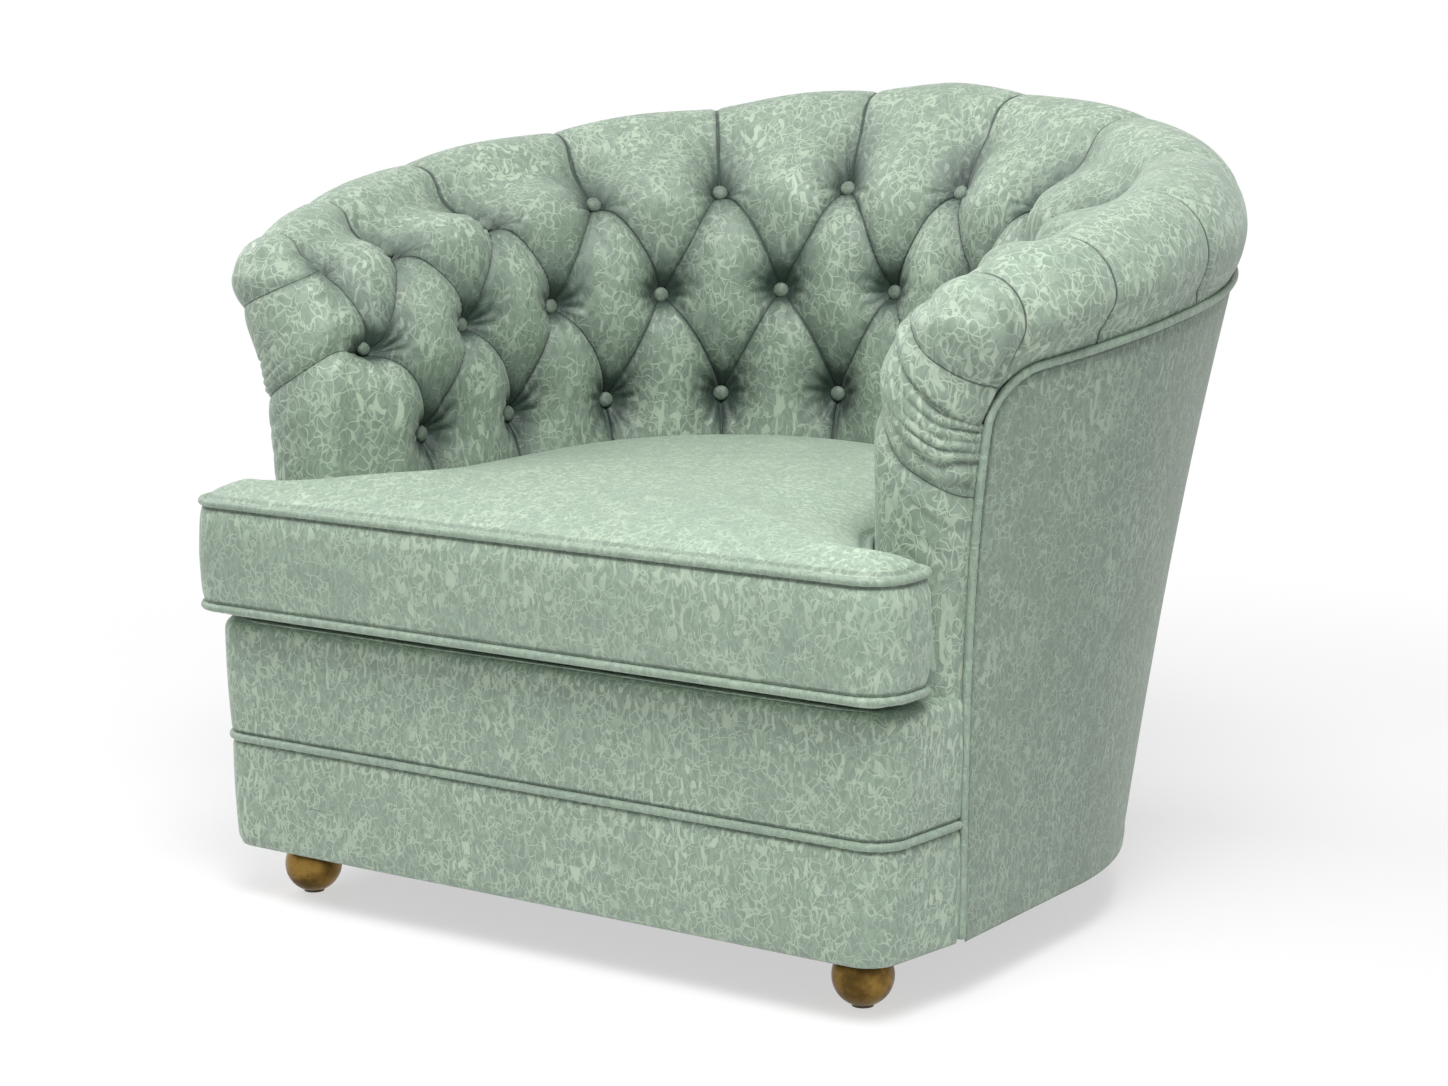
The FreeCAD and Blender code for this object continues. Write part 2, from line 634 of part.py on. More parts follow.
def base_covers():
    """Padding, border, band and band welt round the front of the base."""
    thickness = size("cover_thickness")
    padded = thickness + GAP + size("front_padding")
    band = size("band_top")
    publish(base_strip(band + HALF_GROOVE, size("deck_height"), 0, thickness), "front_border_cover")
    publish(base_strip(size("cover_bottom"), band - HALF_GROOVE, 0, thickness), "base_band_cover")
    padding = base_strip(size("frame_bottom") + 2, size("rail_top") - 2, thickness + GAP, padded)
    publish(padding, "front_padding")
    outline = base_outline(band, thickness - size("welt_radius"), NOSE_Y).Edges
    route = Part.Wire([edge for edge in outline if edge.BoundBox.YMin < NOSE_Y - 1])
    start = Vector(route.OrderedVertexes[0].Point)
    ahead = (route.OrderedVertexes[1].Point - start).normalize()
    profile = Part.Wire([Part.makeCircle(size("welt_radius"), start, ahead)])
    publish(route.makePipeShell([profile], True, False), "base_band_welt")


def padded_face():
    """How far the wooden frame stays inside the covers."""
    return size("cover_thickness") + GAP + size("front_padding") + GAP


def rail_line():
    """Outer face of the side rails: half width in front, and at the barrel."""
    front = BASE_HALF_WIDTH - padded_face()
    return front, FOOT_RADIUS - size("cover_thickness") - size("liner_thickness") - 3 * GAP


def drill(start, direction, radius, length):
    """Round hole or shank from start along a direction."""
    return Part.makeCylinder(radius, length, start, direction)


BLOCK_RELIEF = 10.0
BLOCK_LEG = 26.0
REAR_SCREW_OFFSET = 18.0
SCREW_EDGE = 13.0
SCREW_START = 39.0


def block_sites():
    """Foot position and turn of each corner block, front pair first."""
    y = FRONT_Y + size("foot_setback")
    sites = [(Vector(side * FOOT_HALF_SPAN, y, 0), 0.0, side) for side in (-1, 1)]
    for side in (-1, 1):
        turn = math.radians(size("rear_foot_turn")) * side
        radius = REAR_FOOT_RADIUS
        spot = Vector(radius * math.sin(turn), BARREL_Y + radius * math.cos(turn), 0)
        sites.append((spot, -math.degrees(turn), side))
    return sites


def block_shape(spot, turn, side):
    """Corner block round a foot's stud."""
    half = size("block_size") / 2
    if turn:
        block = box(-half, half, -half, half - BLOCK_RELIEF, 0, size("block_height"))
        block.rotate(Vector(0, 0, 0), Vector(0, 0, 1), turn)
    else:
        front = FRONT_Y + padded_face() + size("rail_thickness") + GAP - spot.y
        reach = rail_line()[0] - size("rail_thickness") - GAP - FOOT_HALF_SPAN
        deep = front + size("block_size")
        across = reach - size("block_size")
        corners = [(reach, front), (reach, deep), (reach - BLOCK_LEG, deep), (across, front + BLOCK_LEG)]
        corners.append((across, front))
        block = slab(ring([Vector(side * x, y, 0) for x, y in corners]), size("block_height"))
    block.translate(Vector(spot.x, spot.y, size("frame_bottom")))
    return block


def screw_lines():
    """Head position and direction of each corner block screw."""
    height = size("frame_bottom") + size("block_height") / 2
    inset = size("block_size") / 2
    lines = []
    for spot, turn, side in block_sites():
        if turn:
            outward = Vector(spot.x, spot.y - BARREL_Y, 0).normalize()
            across = Vector(-outward.y, outward.x, 0)
            for offset in (-REAR_SCREW_OFFSET, REAR_SCREW_OFFSET):
                lines.append((spot - outward * inset + across * offset + Vector(0, 0, height), outward))
        else:
            front = FRONT_Y + padded_face() + size("rail_thickness") + GAP
            wall = rail_line()[0] - size("rail_thickness") - GAP
            x = wall - size("block_size") + SCREW_EDGE
            y = front + size("block_size") - SCREW_EDGE
            lines.append((Vector(side * x, front + SCREW_START, height), Vector(0, -1, 0)))
            lines.append((Vector(side * (wall - SCREW_START), y, height), Vector(side, 0, 0)))
    return lines


def frame_holes():
    """Everything that is drilled out of the blocks and rails."""
    extra = size("thread_clearance")
    holes = []
    for spot, _, _ in block_sites():
        base = spot + Vector(0, 0, size("frame_bottom") - 1)
        holes.append(drill(base, Vector(0, 0, 1), size("nut_radius") + extra, size("block_height") + 2))
    for start, direction in screw_lines():
        reach = size("screw_length")
        holes.append(drill(start, direction, size("screw_radius") + extra, reach + extra))
        holes.append(drill(start - direction * reach, direction, size("screw_head_radius") + extra, reach))
    for spot in tack_sites():
        start = spot + Vector(0, 0, size("frame_bottom") - 2)
        up = Vector(0, 0, 1)
        holes.append(drill(start, up, size("tack_shank_radius") + extra, size("tack_length") + 3))
    return Part.makeCompound(holes)


def tack_sites():
    """Points round the underside where the dust cover is tacked to the rails."""
    middle = size("rail_thickness") / 2
    sites = []
    front, back = rail_line()
    for n in range(-4, 5):
        sites.append(Vector(n * 60.0, FRONT_Y + padded_face() + middle, 0))
    for side in (-1, 1):
        for n in range(1, 4):
            share = n / 4.0
            x = between(front, back, share) - middle
            sites.append(Vector(side * x, between(FRONT_Y + padded_face(), BARREL_Y, share), 0))
    for n in range(-4, 5):
        turn = math.radians(n * 20.0)
        reach = back - middle
        sites.append(Vector(reach * math.sin(turn), BARREL_Y + reach * math.cos(turn), 0))
    return sites


def plank(label, corners, bottom, height):
    """Body padded up from a sketched outline of straight runs and quarter-turn arcs."""
    body = doc.addObject("PartDesign::Body", label)
    plane = [o for o in body.Origin.OriginFeatures if o.Role == "XY_Plane"][0]
    sketch = body.newObject("Sketcher::SketchObject", label + "_outline")
    sketch.AttachmentSupport = (plane, [""])
    sketch.MapMode = "FlatFace"
    for piece in corners:
        sketch.addGeometry(piece, False)
    pad = body.newObject("PartDesign::Pad", label + "_pad")
    pad.Profile = sketch
    bind(pad, Length=height)
    bind(body, Placement__Base__z=bottom)
    body.Tip = pad
    return body


def lines_through(points):
    """Closed run of sketch lines."""
    flat = [Vector(x, y, 0) for x, y in points]
    return [Part.LineSegment(a, b) for a, b in zip(flat, flat[1:] + flat[:1])]


def drilled(body, holes, label):
    """A wooden piece with its holes."""
    cut = doc.addObject("Part::Cut", label + "_drilled")
    cut.Base = body
    cut.Tool = holes
    return keep(cut, label)


def seat_frame():
    """Seat rails, corner blocks, posts, ribs and the bent top rail."""
    holes = doc.addObject("Part::Feature", "frame_holes")
    holes.Shape = frame_holes()
    thick = size("rail_thickness")
    front, back = rail_line()
    face = FRONT_Y + padded_face()
    height = "@rail_top - @frame_bottom"
    half = front - thick - GAP
    ends = [(-half, face), (half, face), (half, face + thick), (-half, face + thick)]
    rail = plank("front_rail_blank", lines_through(ends), "@frame_bottom", height)
    drilled(rail, holes, "front_seat_rail")
    for label, side in (("left_seat_rail", -1), ("right_seat_rail", 1)):
        corner = size("base_corner") - padded_face() + 2 * GAP
        runs = [(side * (front - corner), face), (side * front, face + corner), (side * back, BARREL_Y)]
        runs += [(side * (back - thick), BARREL_Y), (side * (front - thick), face)]
        drilled(plank(label + "_blank", lines_through(runs), "@frame_bottom", height), holes, label)
    middle = Vector(0, BARREL_Y, 0)
    up = Vector(0, 0, 1)
    arcs = [Part.ArcOfCircle(Part.Circle(middle, up, back), 0, math.pi)]
    arcs.append(Part.LineSegment(Vector(-back, BARREL_Y, 0), Vector(thick - back, BARREL_Y, 0)))
    arcs.append(Part.ArcOfCircle(Part.Circle(middle, up, back - thick), 0, math.pi))
    arcs.append(Part.LineSegment(Vector(back - thick, BARREL_Y, 0), Vector(back, BARREL_Y, 0)))
    drilled(plank("back_rail_blank", arcs, "@frame_bottom", height), holes, "back_seat_rail")
    blocks = [block_shape(*site) for site in block_sites()]
    publish(Part.makeCompound([b.cut(holes.Shape) for b in blocks[:2]]), "front_corner_blocks")
    publish(Part.makeCompound([b.cut(holes.Shape) for b in blocks[2:]]), "rear_foot_blocks")

    def top_rail(step):
        low_r, high_r, low, high = rail_box(step)
        near, far, top = low_r + GAP, high_r - GAP, high - GAP
        return ring([place(step, r, z) for r, z in ((near, low), (far, low), (far, top), (near, top))])

    publish(along_barrel(-NOSE_STEP, NOSE_STEP, top_rail), "top_rail")
    half_rib = size("rib_width") / 2 / BUTTON_PITCH
    ribs = [upright(step - half_rib, step + half_rib) for step in RIB_STEPS]
    publish(Part.makeCompound(ribs), "back_ribs")
    post_step = NOSE_STEP - size("post_width") / BUTTON_PITCH
    publish(upright(-NOSE_STEP, -post_step), "left_front_post")
    publish(upright(post_step, NOSE_STEP), "right_front_post")


def upright(first, last):
    """Rib or post that stands on the seat rail and carries the top rail."""
    foot = size("rail_top")
    depth = size("rib_depth")

    def profile(step):
        top = rail_box(step)[2] - GAP
        near, far = rib_front(step, foot), rib_front(step, top)
        return [(near, foot), (near + depth, foot), (far + depth, top), (far, top)]

    return strip(first, last, profile)


def back_burlap():
    """Burlap stretched over the ribs and posts behind the padding."""
    def profile(step):
        top = rail_box(step)[2] - 4.0
        low = size("wall_bottom") - 4.0
        thick = size("burlap_thickness") + GAP
        near, far = rib_front(step, low), rib_front(step, top)
        return [(near - thick, low), (near - GAP, low), (far - GAP, top), (far - thick, top)]

    publish(strip(-NOSE_STEP, NOSE_STEP, profile), "back_burlap")


def deck_outline(z, inset, front):
    """T-shaped outline of the deck inside the padding."""
    wide = BASE_HALF_WIDTH - inset
    narrow = CREST_RADIUS + 2 - inset
    rear = BARREL_Y + narrow
    corners = [(-wide, front, 0), (wide, front, 0), (wide, NOSE_Y - inset, 0), (narrow, NOSE_Y - inset, 0)]
    corners += [(narrow, rear, narrow), (-narrow, rear, narrow)]
    corners += [(-narrow, NOSE_Y - inset, 0), (-wide, NOSE_Y - inset, 0)]
    return rounded_outline(corners, z)


def spring_route(x, front, rear, z):
    """Zigzag route of one spring."""
    loop = size("spring_loop")
    half = size("spring_width") / 2 - loop
    count = int((rear - front) // (2 * loop))
    y = front
    side = 1
    edges = [Part.LineSegment(Vector(x - half, y, z), Vector(x + half, y, z)).toShape()]
    for _ in range(count):
        turn = Vector(x + side * (half + loop), y + loop, z)
        edges.append(arc(Vector(x + side * half, y, z), turn, Vector(x + side * half, y + 2 * loop, z)))
        y += 2 * loop
        start, end = Vector(x + side * half, y, z), Vector(x - side * half, y, z)
        edges.append(Part.LineSegment(start, end).toShape())
        side = -side
    return Part.Wire(edges), y


CLIP_SEAT, CLIP_SEAT_BEHIND = 0.7, 0.564
CLIP_HALF_WIDTH, CLIP_REACH = 8.0, 7.0
EDGE_ROUNDING = 12.0


def deck():
    """Zigzag springs in their clips, burlap, padding, stuffed front edge and deck cover."""
    wire = size("spring_wire")
    thin = size("clip_thickness")
    z = size("rail_top") + thin + wire / 2 + GAP
    front = FRONT_Y + padded_face() + size("rail_thickness") * CLIP_SEAT
    springs, clips = [], []
    for n in range(-2, 3):
        x = n * size("spring_spacing")
        inner = rail_line()[1] - size("rail_thickness")
        rear = BARREL_Y + math.sqrt(inner * inner - x * x) + size("rail_thickness") * CLIP_SEAT_BEHIND
        route, last = spring_route(x, front, rear, z)
        start = route.OrderedVertexes[0].Point
        circle = Part.Wire([Part.makeCircle(wire / 2, start, Vector(1, 0, 0))])
        springs.append(route.makePipeShell([circle], True, False))
        for y in (front, last):
            top = z + wire / 2 + thin
            left, right = x - CLIP_HALF_WIDTH, x + CLIP_HALF_WIDTH
            clip = box(left, right, y - CLIP_REACH, y + CLIP_REACH, size("rail_top"), top)
            bore = drill(Vector(left - 1, y, z), Vector(1, 0, 0), wire / 2 + GAP, right - left + 2)
            clips.append(clip.cut(bore))
    publish(Part.makeCompound(springs), "seat_springs")
    publish(Part.makeCompound(clips), "spring_clips")
    burlap = z + wire / 2 + thin + GAP
    padding = burlap + size("burlap_thickness") + GAP
    deck_top = size("deck_height") - size("cover_thickness")
    cover_front = FRONT_Y + size("cover_thickness") + 2 * GAP
    edge = cover_front + size("edge_roll")
    burlap_front = cover_front + size("front_padding")
    publish(slab(deck_outline(burlap, 2 * GAP, burlap_front), size("burlap_thickness")), "deck_burlap")
    pad = slab(deck_outline(padding, 2 * GAP, edge + GAP), deck_top - GAP - padding)
    publish(pad, "deck_padding")
    near = size("cover_thickness") + 2 * GAP
    levels = (
        (padding, near), (deck_top - EDGE_ROUNDING, near), (deck_top - GAP, near + EDGE_ROUNDING),
    )
    rim = [base_outline(height, inset, NOSE_Y) for height, inset in levels]
    ahead = box(-OUTER_RADIUS, OUTER_RADIUS, -OUTER_RADIUS, edge, 0, size("overall_height"))
    roll_pad = Part.makeLoft(rim, True, True).common(ahead)
    publish(roll_pad, "front_edge_roll")
    cover = slab(deck_outline(deck_top, 2 * GAP, cover_front), size("cover_thickness"))
    trim = slab(base_outline(deck_top, near, NOSE_Y + 800), size("cover_thickness"))
    publish(cover.common(trim), "deck_cover")


def feet():
    """Brass balls on studs, with collars, nuts, glides and the screws of their blocks."""
    names = ("front_left_ball_foot", "front_right_ball_foot", "rear_left_ball_foot", "rear_right_ball_foot")
    studs, nuts, glides, collars = [], [], [], []
    up = Vector(0, 0, 1)
    ball = size("ball_diameter")
    low = ball - size("stud_depth")
    extra = size("thread_clearance")
    frame = size("frame_bottom")
    under = frame - size("dust_cover_thickness") - GAP
    collar_low = ball - 2.0
    for name, (spot, _, _) in zip(names, block_sites()):
        sphere = doc.addObject("Part::Sphere", name + "_sphere")
        bind(sphere, Radius="@ball_diameter / 2", Placement__Base__z="@ball_diameter / 2")
        bore = doc.addObject("Part::Cylinder", name + "_bore")
        bind(bore, Radius="@stud_radius + @thread_clearance", Height="@stud_depth + @thread_clearance + 1")
        bind(bore, Placement__Base__z="@ball_diameter - @stud_depth - @thread_clearance")
        seat = doc.addObject("Part::Cylinder", name + "_seat")
        bind(seat, Radius="@glide_radius + @thread_clearance", Height="@glide_height + @thread_clearance")
        voids = doc.addObject("Part::Compound", name + "_voids")
        voids.Links = [bore, seat]
        foot = doc.addObject("Part::Cut", name + "_cut")
        foot.Base = sphere
        foot.Tool = voids
        foot.Placement.Base = spot
        keep(foot, name)
        studs.append(drill(spot + up * low, up, size("stud_radius"), frame + size("stud_length") - low))
        nut = drill(spot + up * frame, up, size("nut_radius"), size("block_height"))
        flange = drill(spot + up * (frame + size("block_height")), up, size("nut_flange_radius"),
                       size("nut_flange_thickness"))
        hole = drill(spot + up * (frame - 1), up, size("stud_radius") + extra, size("block_height") + 10)
        nuts.append(nut.fuse(flange).cut(hole))
        glides.append(drill(spot, up, size("glide_radius"), size("glide_height")))
        collar = drill(spot + up * collar_low, up, size("collar_radius"), under - collar_low)
        dome = Part.makeSphere(ball / 2 + GAP, spot + up * (ball / 2))
        collars.append(collar.cut(dome).cut(hole.translated(up * -10)))
    for label, members in (("foot_studs", studs), ("foot_t_nuts", nuts), ("foot_glides", glides),
                           ("foot_collars", collars)):
        publish(Part.makeCompound(members), label)
    screws = []
    for start, direction in screw_lines():
        shank = drill(start, direction, size("screw_radius"), size("screw_length"))
        head = drill(start - direction * size("screw_head_height"), direction, size("screw_head_radius"),
                     size("screw_head_height"))
        screws.append(shank.fuse(head).removeSplitter())
    publish(Part.makeCompound(screws), "corner_block_screws")


def underside():
    """Dust cover and its tacks."""
    thick = size("dust_cover_thickness")
    frame = size("frame_bottom")
    front, back = rail_line()
    inset = 6.0
    rear = BARREL_Y + back - inset
    ahead = FRONT_Y + padded_face() + inset
    wide, round_back = front - inset, back - inset
    corners = [(-wide, ahead, 0), (wide, ahead, 0), (round_back, BARREL_Y, 0), (round_back, rear, round_back)]
    corners += [(-round_back, rear, round_back), (-round_back, BARREL_Y, 0)]
    cloth = slab(rounded_outline(corners, frame - thick - GAP), thick)
    up = Vector(0, 0, 1)
    holes = [drill(s + up * (frame - 5), up, size("stud_radius") + 1.0, 10) for s, _, _ in block_sites()]
    tacks = []
    for spot in tack_sites():
        low = frame - thick - 2 * GAP
        head = drill(spot + up * (low - size("tack_head_thickness")), up, size("tack_head_radius"),
                     size("tack_head_thickness"))
        tacks.append(drill(spot + up * low, up, size("tack_shank_radius"), size("tack_length")).fuse(head))
        shank = size("tack_shank_radius") + size("thread_clearance")
        holes.append(drill(spot + up * (low - 1), up, shank, 5))
    publish(cloth.cut(Part.makeCompound(holes)), "dust_cover")
    publish(Part.makeCompound(tacks), "dust_cover_tacks")


CUSHION_RADIUS = CREST_RADIUS - size("cushion_gap")
CUSHION_Y = BARREL_Y - size("zip_room")
CUSHION_BOTTOM = size("deck_height") + 2 * GAP
SEAM_LOW = CUSHION_BOTTOM + size("cushion_belly")
SEAM_HIGH = SEAM_LOW + size("boxing_height")


def cushion_corners(inset):
    """Right half of the T-shaped outline, which goes round an arm front, as (x, y, radius)."""
    slope = math.hypot(1.0, NOSE_SLOPE)
    line = NOSE_LINE - (size("arm_front_gap") + inset) * slope
    wide = EAR_HALF_WIDTH - inset
    narrow = CUSHION_RADIUS - inset
    front = -size("overall_depth") / 2 + inset
    ear = NOSE_Y - size("arm_front_depth") - size("arm_front_gap") - inset
    notch = (line - NOSE_SLOPE * (ear - FRONT_Y), ear, size("notch_turn") + inset)
    bend = (narrow, FRONT_Y + (line - narrow) / NOSE_SLOPE, size("notch_end_turn") + inset)
    ear_back = (wide, ear, size("ear_back_corner") - inset)
    ear_front = (wide, front, size("ear_corner") - inset)
    return [ear_front, ear_back, notch, bend, (narrow, CUSHION_Y + narrow, narrow)]


# Middle of the crown: shares of the cushion's plan, and the small corners left there
CROWN_WIDE, CROWN_NARROW, CROWN_FRONT = 0.48, 0.6, 0.7
CROWN_AHEAD, CROWN_NOTCH, CROWN_BEND = 8.0, 15.0, 36.0
CROWN_CORNER, CROWN_BACK_CORNER, CROWN_BEND_CORNER = 5.0, 4.0, 12.0


def crown_corners():
    """Right half of the nearly flat middle of the crown, corner for corner with the outline."""
    wide, narrow = EAR_HALF_WIDTH * CROWN_WIDE, CUSHION_RADIUS * CROWN_NARROW
    (_, front, _), (_, ear, _) = cushion_corners(0.0)[:2]
    ear -= CROWN_AHEAD
    ear_front = (wide, between(front, ear, CROWN_FRONT), CROWN_CORNER)
    ear_back = (wide, ear, CROWN_BACK_CORNER)
    notch = (wide - CROWN_NOTCH, ear, CROWN_CORNER)
    bend = (narrow, ear + CROWN_BEND, CROWN_BEND_CORNER)
    return [ear_front, ear_back, notch, bend, (narrow, CUSHION_Y + narrow, narrow)]


def cushion_outline(z, inset, spread=1.0):
    """Outline of the cushion at a height, from its full plan (1) to the middle of its crown (0)."""
    pairs = zip(crown_corners(), cushion_corners(inset))
    half = [between(low, high, spread) for low, high in pairs]
    return rounded_outline(half + [(-x, y, radius) for x, y, radius in half[::-1]], z)


# Crown: share of its height, and how much of the plan is left there
CROWN_PROFILE = ((0.38, 0.84), (0.70, 0.58), (0.92, 0.28), (1.0, 0.0))
BELLY_SPREAD = 0.88
SEAM_SHOULDER = 2.0


def cushion_solid(skin):
    """Crowned cushion, this far inside its covers."""
    bulge = size("cushion_bulge")
    crown = size("cushion_crown")
    flat = size("zip_height") / 2 + 6.0
    middle = (SEAM_LOW + SEAM_HIGH) / 2
    levels = [
        (CUSHION_BOTTOM + skin, bulge, BELLY_SPREAD),
        (SEAM_LOW, bulge, 1.0),
        (between(SEAM_LOW, middle - flat, 0.5), SEAM_SHOULDER, 1.0),
        (middle - flat, 0.0, 1.0),
        (middle + flat, 0.0, 1.0),
        (between(SEAM_HIGH, middle + flat, 0.5), SEAM_SHOULDER, 1.0),
        (SEAM_HIGH, bulge, 1.0),
    ]
    levels += [(SEAM_HIGH + share * crown - skin, bulge, spread) for share, spread in CROWN_PROFILE]
    outlines = [cushion_outline(z, inset + skin, spread) for z, inset, spread in levels]
    return Part.makeLoft(outlines, True, True)


def cushion_welt(z):
    """Piping round the cushion, in the crease of a seam."""
    route = cushion_outline(z, size("cushion_bulge") - size("welt_radius") - 2 * GAP)
    start = route.Edges[0].valueAt(route.Edges[0].FirstParameter)
    ahead = route.Edges[0].tangentAt(route.Edges[0].FirstParameter)
    profile = Part.Wire([Part.makeCircle(size("welt_radius"), start, ahead)])
    return route.makePipeShell([profile], True, False)


def cushion():
    """Loose seat cushion: core, three panels, two welts, and a zip behind."""
    skin = size("cover_thickness")
    outer, lining = cushion_solid(0.0), cushion_solid(skin)
    shell = outer.cut(lining)
    publish(cushion_solid(skin + 2 * GAP), "cushion_core")
    wide, high = OUTER_RADIUS, size("overall_height")
    publish(shell.common(box(-wide, wide, -wide, wide, 0, SEAM_LOW)), "cushion_bottom_panel")
    publish(shell.common(box(-wide, wide, -wide, wide, SEAM_LOW, SEAM_HIGH)), "cushion_boxing")
    publish(shell.common(box(-wide, wide, -wide, wide, SEAM_HIGH, high)), "cushion_top_panel")
    publish(cushion_welt(SEAM_HIGH + 1.0), "cushion_top_welt")
    publish(cushion_welt(SEAM_LOW - 1.0), "cushion_bottom_welt")
    middle = (SEAM_LOW + SEAM_HIGH) / 2
    half_turn = size("zip_turn") / 2
    low = middle - size("zip_height") / 2
    inner = CUSHION_RADIUS + GAP
    arm = Part.makeCylinder(inner + size("zip_thickness"), size("zip_height"), Vector(0, CUSHION_Y, low),
                            Vector(0, 0, 1), size("zip_turn"))
    hollow = Part.makeCylinder(inner, size("zip_height"), Vector(0, CUSHION_Y, low))
    band = arm.cut(hollow)
    band.rotate(Vector(0, CUSHION_Y, 0), Vector(0, 0, 1), 90 - half_turn)
    publish(band, "cushion_zip")
    near = inner + size("zip_thickness") + GAP
    tall = size("slider_height")
    slider_turn = math.degrees(size("slider_length") / near)
    slider = Part.makeCylinder(near + size("slider_thickness"), tall,
                               Vector(0, CUSHION_Y, middle - tall / 2), Vector(0, 0, 1), slider_turn)
    slider = slider.cut(Part.makeCylinder(near, size("zip_height"), Vector(0, CUSHION_Y, low)))
    slider.rotate(Vector(0, CUSHION_Y, 0), Vector(0, 0, 1), 90 - half_turn)
    publish(slider, "zip_slider")


seat_frame()
back_burlap()
deck()
base_covers()
outside()
inside_padding()
arm_fronts()
feet()
underside()
cushion()

doc.recompute()
faults = []
for thing in doc.Objects:
    if "Invalid" in thing.State or "Error" in thing.State:
        faults.append(thing.Name + " did not compute")
for part in SUBPARTS:
    if part.Shape.isNull() or not part.Shape.isValid() or not part.Shape.Solids:
        faults.append(part.Label + " is not a valid solid")
if faults:
    raise RuntimeError("; ".join(faults))

os.makedirs("parts", exist_ok=True)
for part in SUBPARTS:
    part.Shape.exportStep(os.path.join("parts", part.Label + ".step"))
print(len(SUBPARTS), "sub-parts written")
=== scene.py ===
"""Club chair with a tufted round back, a loose T-shaped cushion and brass ball feet."""

import json
import math

import bmesh
import bpy
import numpy as np
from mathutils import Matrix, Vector

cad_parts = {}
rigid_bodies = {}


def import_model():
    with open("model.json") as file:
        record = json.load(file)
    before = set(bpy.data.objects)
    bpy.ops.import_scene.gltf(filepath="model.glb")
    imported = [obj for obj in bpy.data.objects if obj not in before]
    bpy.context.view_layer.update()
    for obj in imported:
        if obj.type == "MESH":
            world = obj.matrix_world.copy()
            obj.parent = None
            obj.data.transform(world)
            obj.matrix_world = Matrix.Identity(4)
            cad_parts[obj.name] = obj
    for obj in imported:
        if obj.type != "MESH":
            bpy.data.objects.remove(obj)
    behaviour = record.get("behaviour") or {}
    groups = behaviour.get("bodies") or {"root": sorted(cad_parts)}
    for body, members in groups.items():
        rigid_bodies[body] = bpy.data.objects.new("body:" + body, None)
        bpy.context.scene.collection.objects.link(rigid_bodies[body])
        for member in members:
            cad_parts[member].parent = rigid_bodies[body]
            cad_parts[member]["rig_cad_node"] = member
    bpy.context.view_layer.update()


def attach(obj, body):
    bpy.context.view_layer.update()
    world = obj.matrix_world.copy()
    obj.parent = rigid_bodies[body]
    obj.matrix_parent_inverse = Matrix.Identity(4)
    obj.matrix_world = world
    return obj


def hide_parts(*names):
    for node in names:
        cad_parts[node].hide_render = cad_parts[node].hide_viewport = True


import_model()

# Sizes are in millimetres until a mesh is laid; the frame is in metres. A step is the distance
# from one button to the next in a row, counted from the middle of the back: an angle round the
# barrel, then a length along the arms.
MM = 0.001
BARREL_Y = -59.5
FRONT_Y = -361.5
NOSE_Y = -260.5
SEAM_Y = -256.5
OUTER_RADIUS = 448.0
FOOT_RADIUS = 352.0
CREST_RADIUS = 249.0
BARREL_FLARE = 92.0
ARM_FLARE = 45.0
ARM_DRAWN_IN = 43.0
BACK_ROLL = 66.0
ARM_ROLL = 47.0
BUTTON_TURN = math.radians(24.33)
ARM_LINE = 336.9
ARM_LINE_SLOPE = 0.6
BUTTON_PITCH = (BARREL_Y - SEAM_Y) / 1.527
QUARTER_STEPS = math.pi / 2 / BUTTON_TURN
NOSE_STEP = QUARTER_STEPS + (BARREL_Y - NOSE_Y) / BUTTON_PITCH
SEAM_STEP = QUARTER_STEPS + (BARREL_Y - SEAM_Y) / BUTTON_PITCH
COVER_STEP = SEAM_STEP - 4.0 / BUTTON_PITCH
LAST_BUTTON_STEP = NOSE_STEP - 0.06
BACK_HEIGHT = 711.0
ARM_HEIGHT = 588.0
WELT_BELOW_ROLL = 0.8
WELT_RADIUS = 3.5
WELT_BEND = 39.0
BEND_STEPS = WELT_BEND / BUTTON_PITCH
COVER_FOOT = 52.0
DECK_HEIGHT = 254.0
BAND_TOP = 148.0
WALL_FOOT = 228.0
NOSE_DEPTH = 37.0
CLOTH_THICKNESS = 2.0
THIN_CLOTH = 1.2


# Shape of the shell
def past_barrel(step):
    """Steps from the end of the barrel to a place on the arms."""
    return np.maximum(np.abs(step) - QUARTER_STEPS, 0.0)


def forward_share(step):
    """0 on the barrel, rising to 1 at the arm front."""
    return np.minimum(past_barrel(step) / (NOSE_STEP - QUARTER_STEPS), 1.0) ** 1.8


def roll(step):
    """Centre radius, centre height and radius of the rolled top."""
    fall = np.minimum(np.abs(step) / NOSE_STEP, 1.0) ** 1.35
    radius = BACK_ROLL - (BACK_ROLL - ARM_ROLL) * fall
    crest = BACK_HEIGHT + (ARM_HEIGHT - BACK_HEIGHT) * fall
    reach = OUTER_RADIUS - ARM_DRAWN_IN * forward_share(step)
    return reach - radius, crest - radius, radius


def welt_height(step):
    _, height, radius = roll(step)
    return height - WELT_BELOW_ROLL * radius


def bend_height(step, edge):
    """Height of the outside welt's line, which bends down to the seam at the given edge step."""
    into = 1 - (edge - np.minimum(np.abs(step), edge)) / (BEND_STEPS - SEAM_STEP + edge)
    low = welt_height(SEAM_STEP) - WELT_BEND
    return low + (welt_height(step) - low) * np.sqrt(1 - np.maximum(into, 0.0) ** 2)


def shell_radius(step, z):
    """Outer face of the outside cover."""
    rise = (z - COVER_FOOT) / (welt_height(0.0) - COVER_FOOT)
    barrel = BARREL_FLARE * (0.7 * rise + 0.3 * rise * rise)
    upright = ARM_FLARE * np.maximum(rise, 0.0) ** 4
    share = forward_share(step)
    return FOOT_RADIUS + barrel * (1 - share) + upright * share


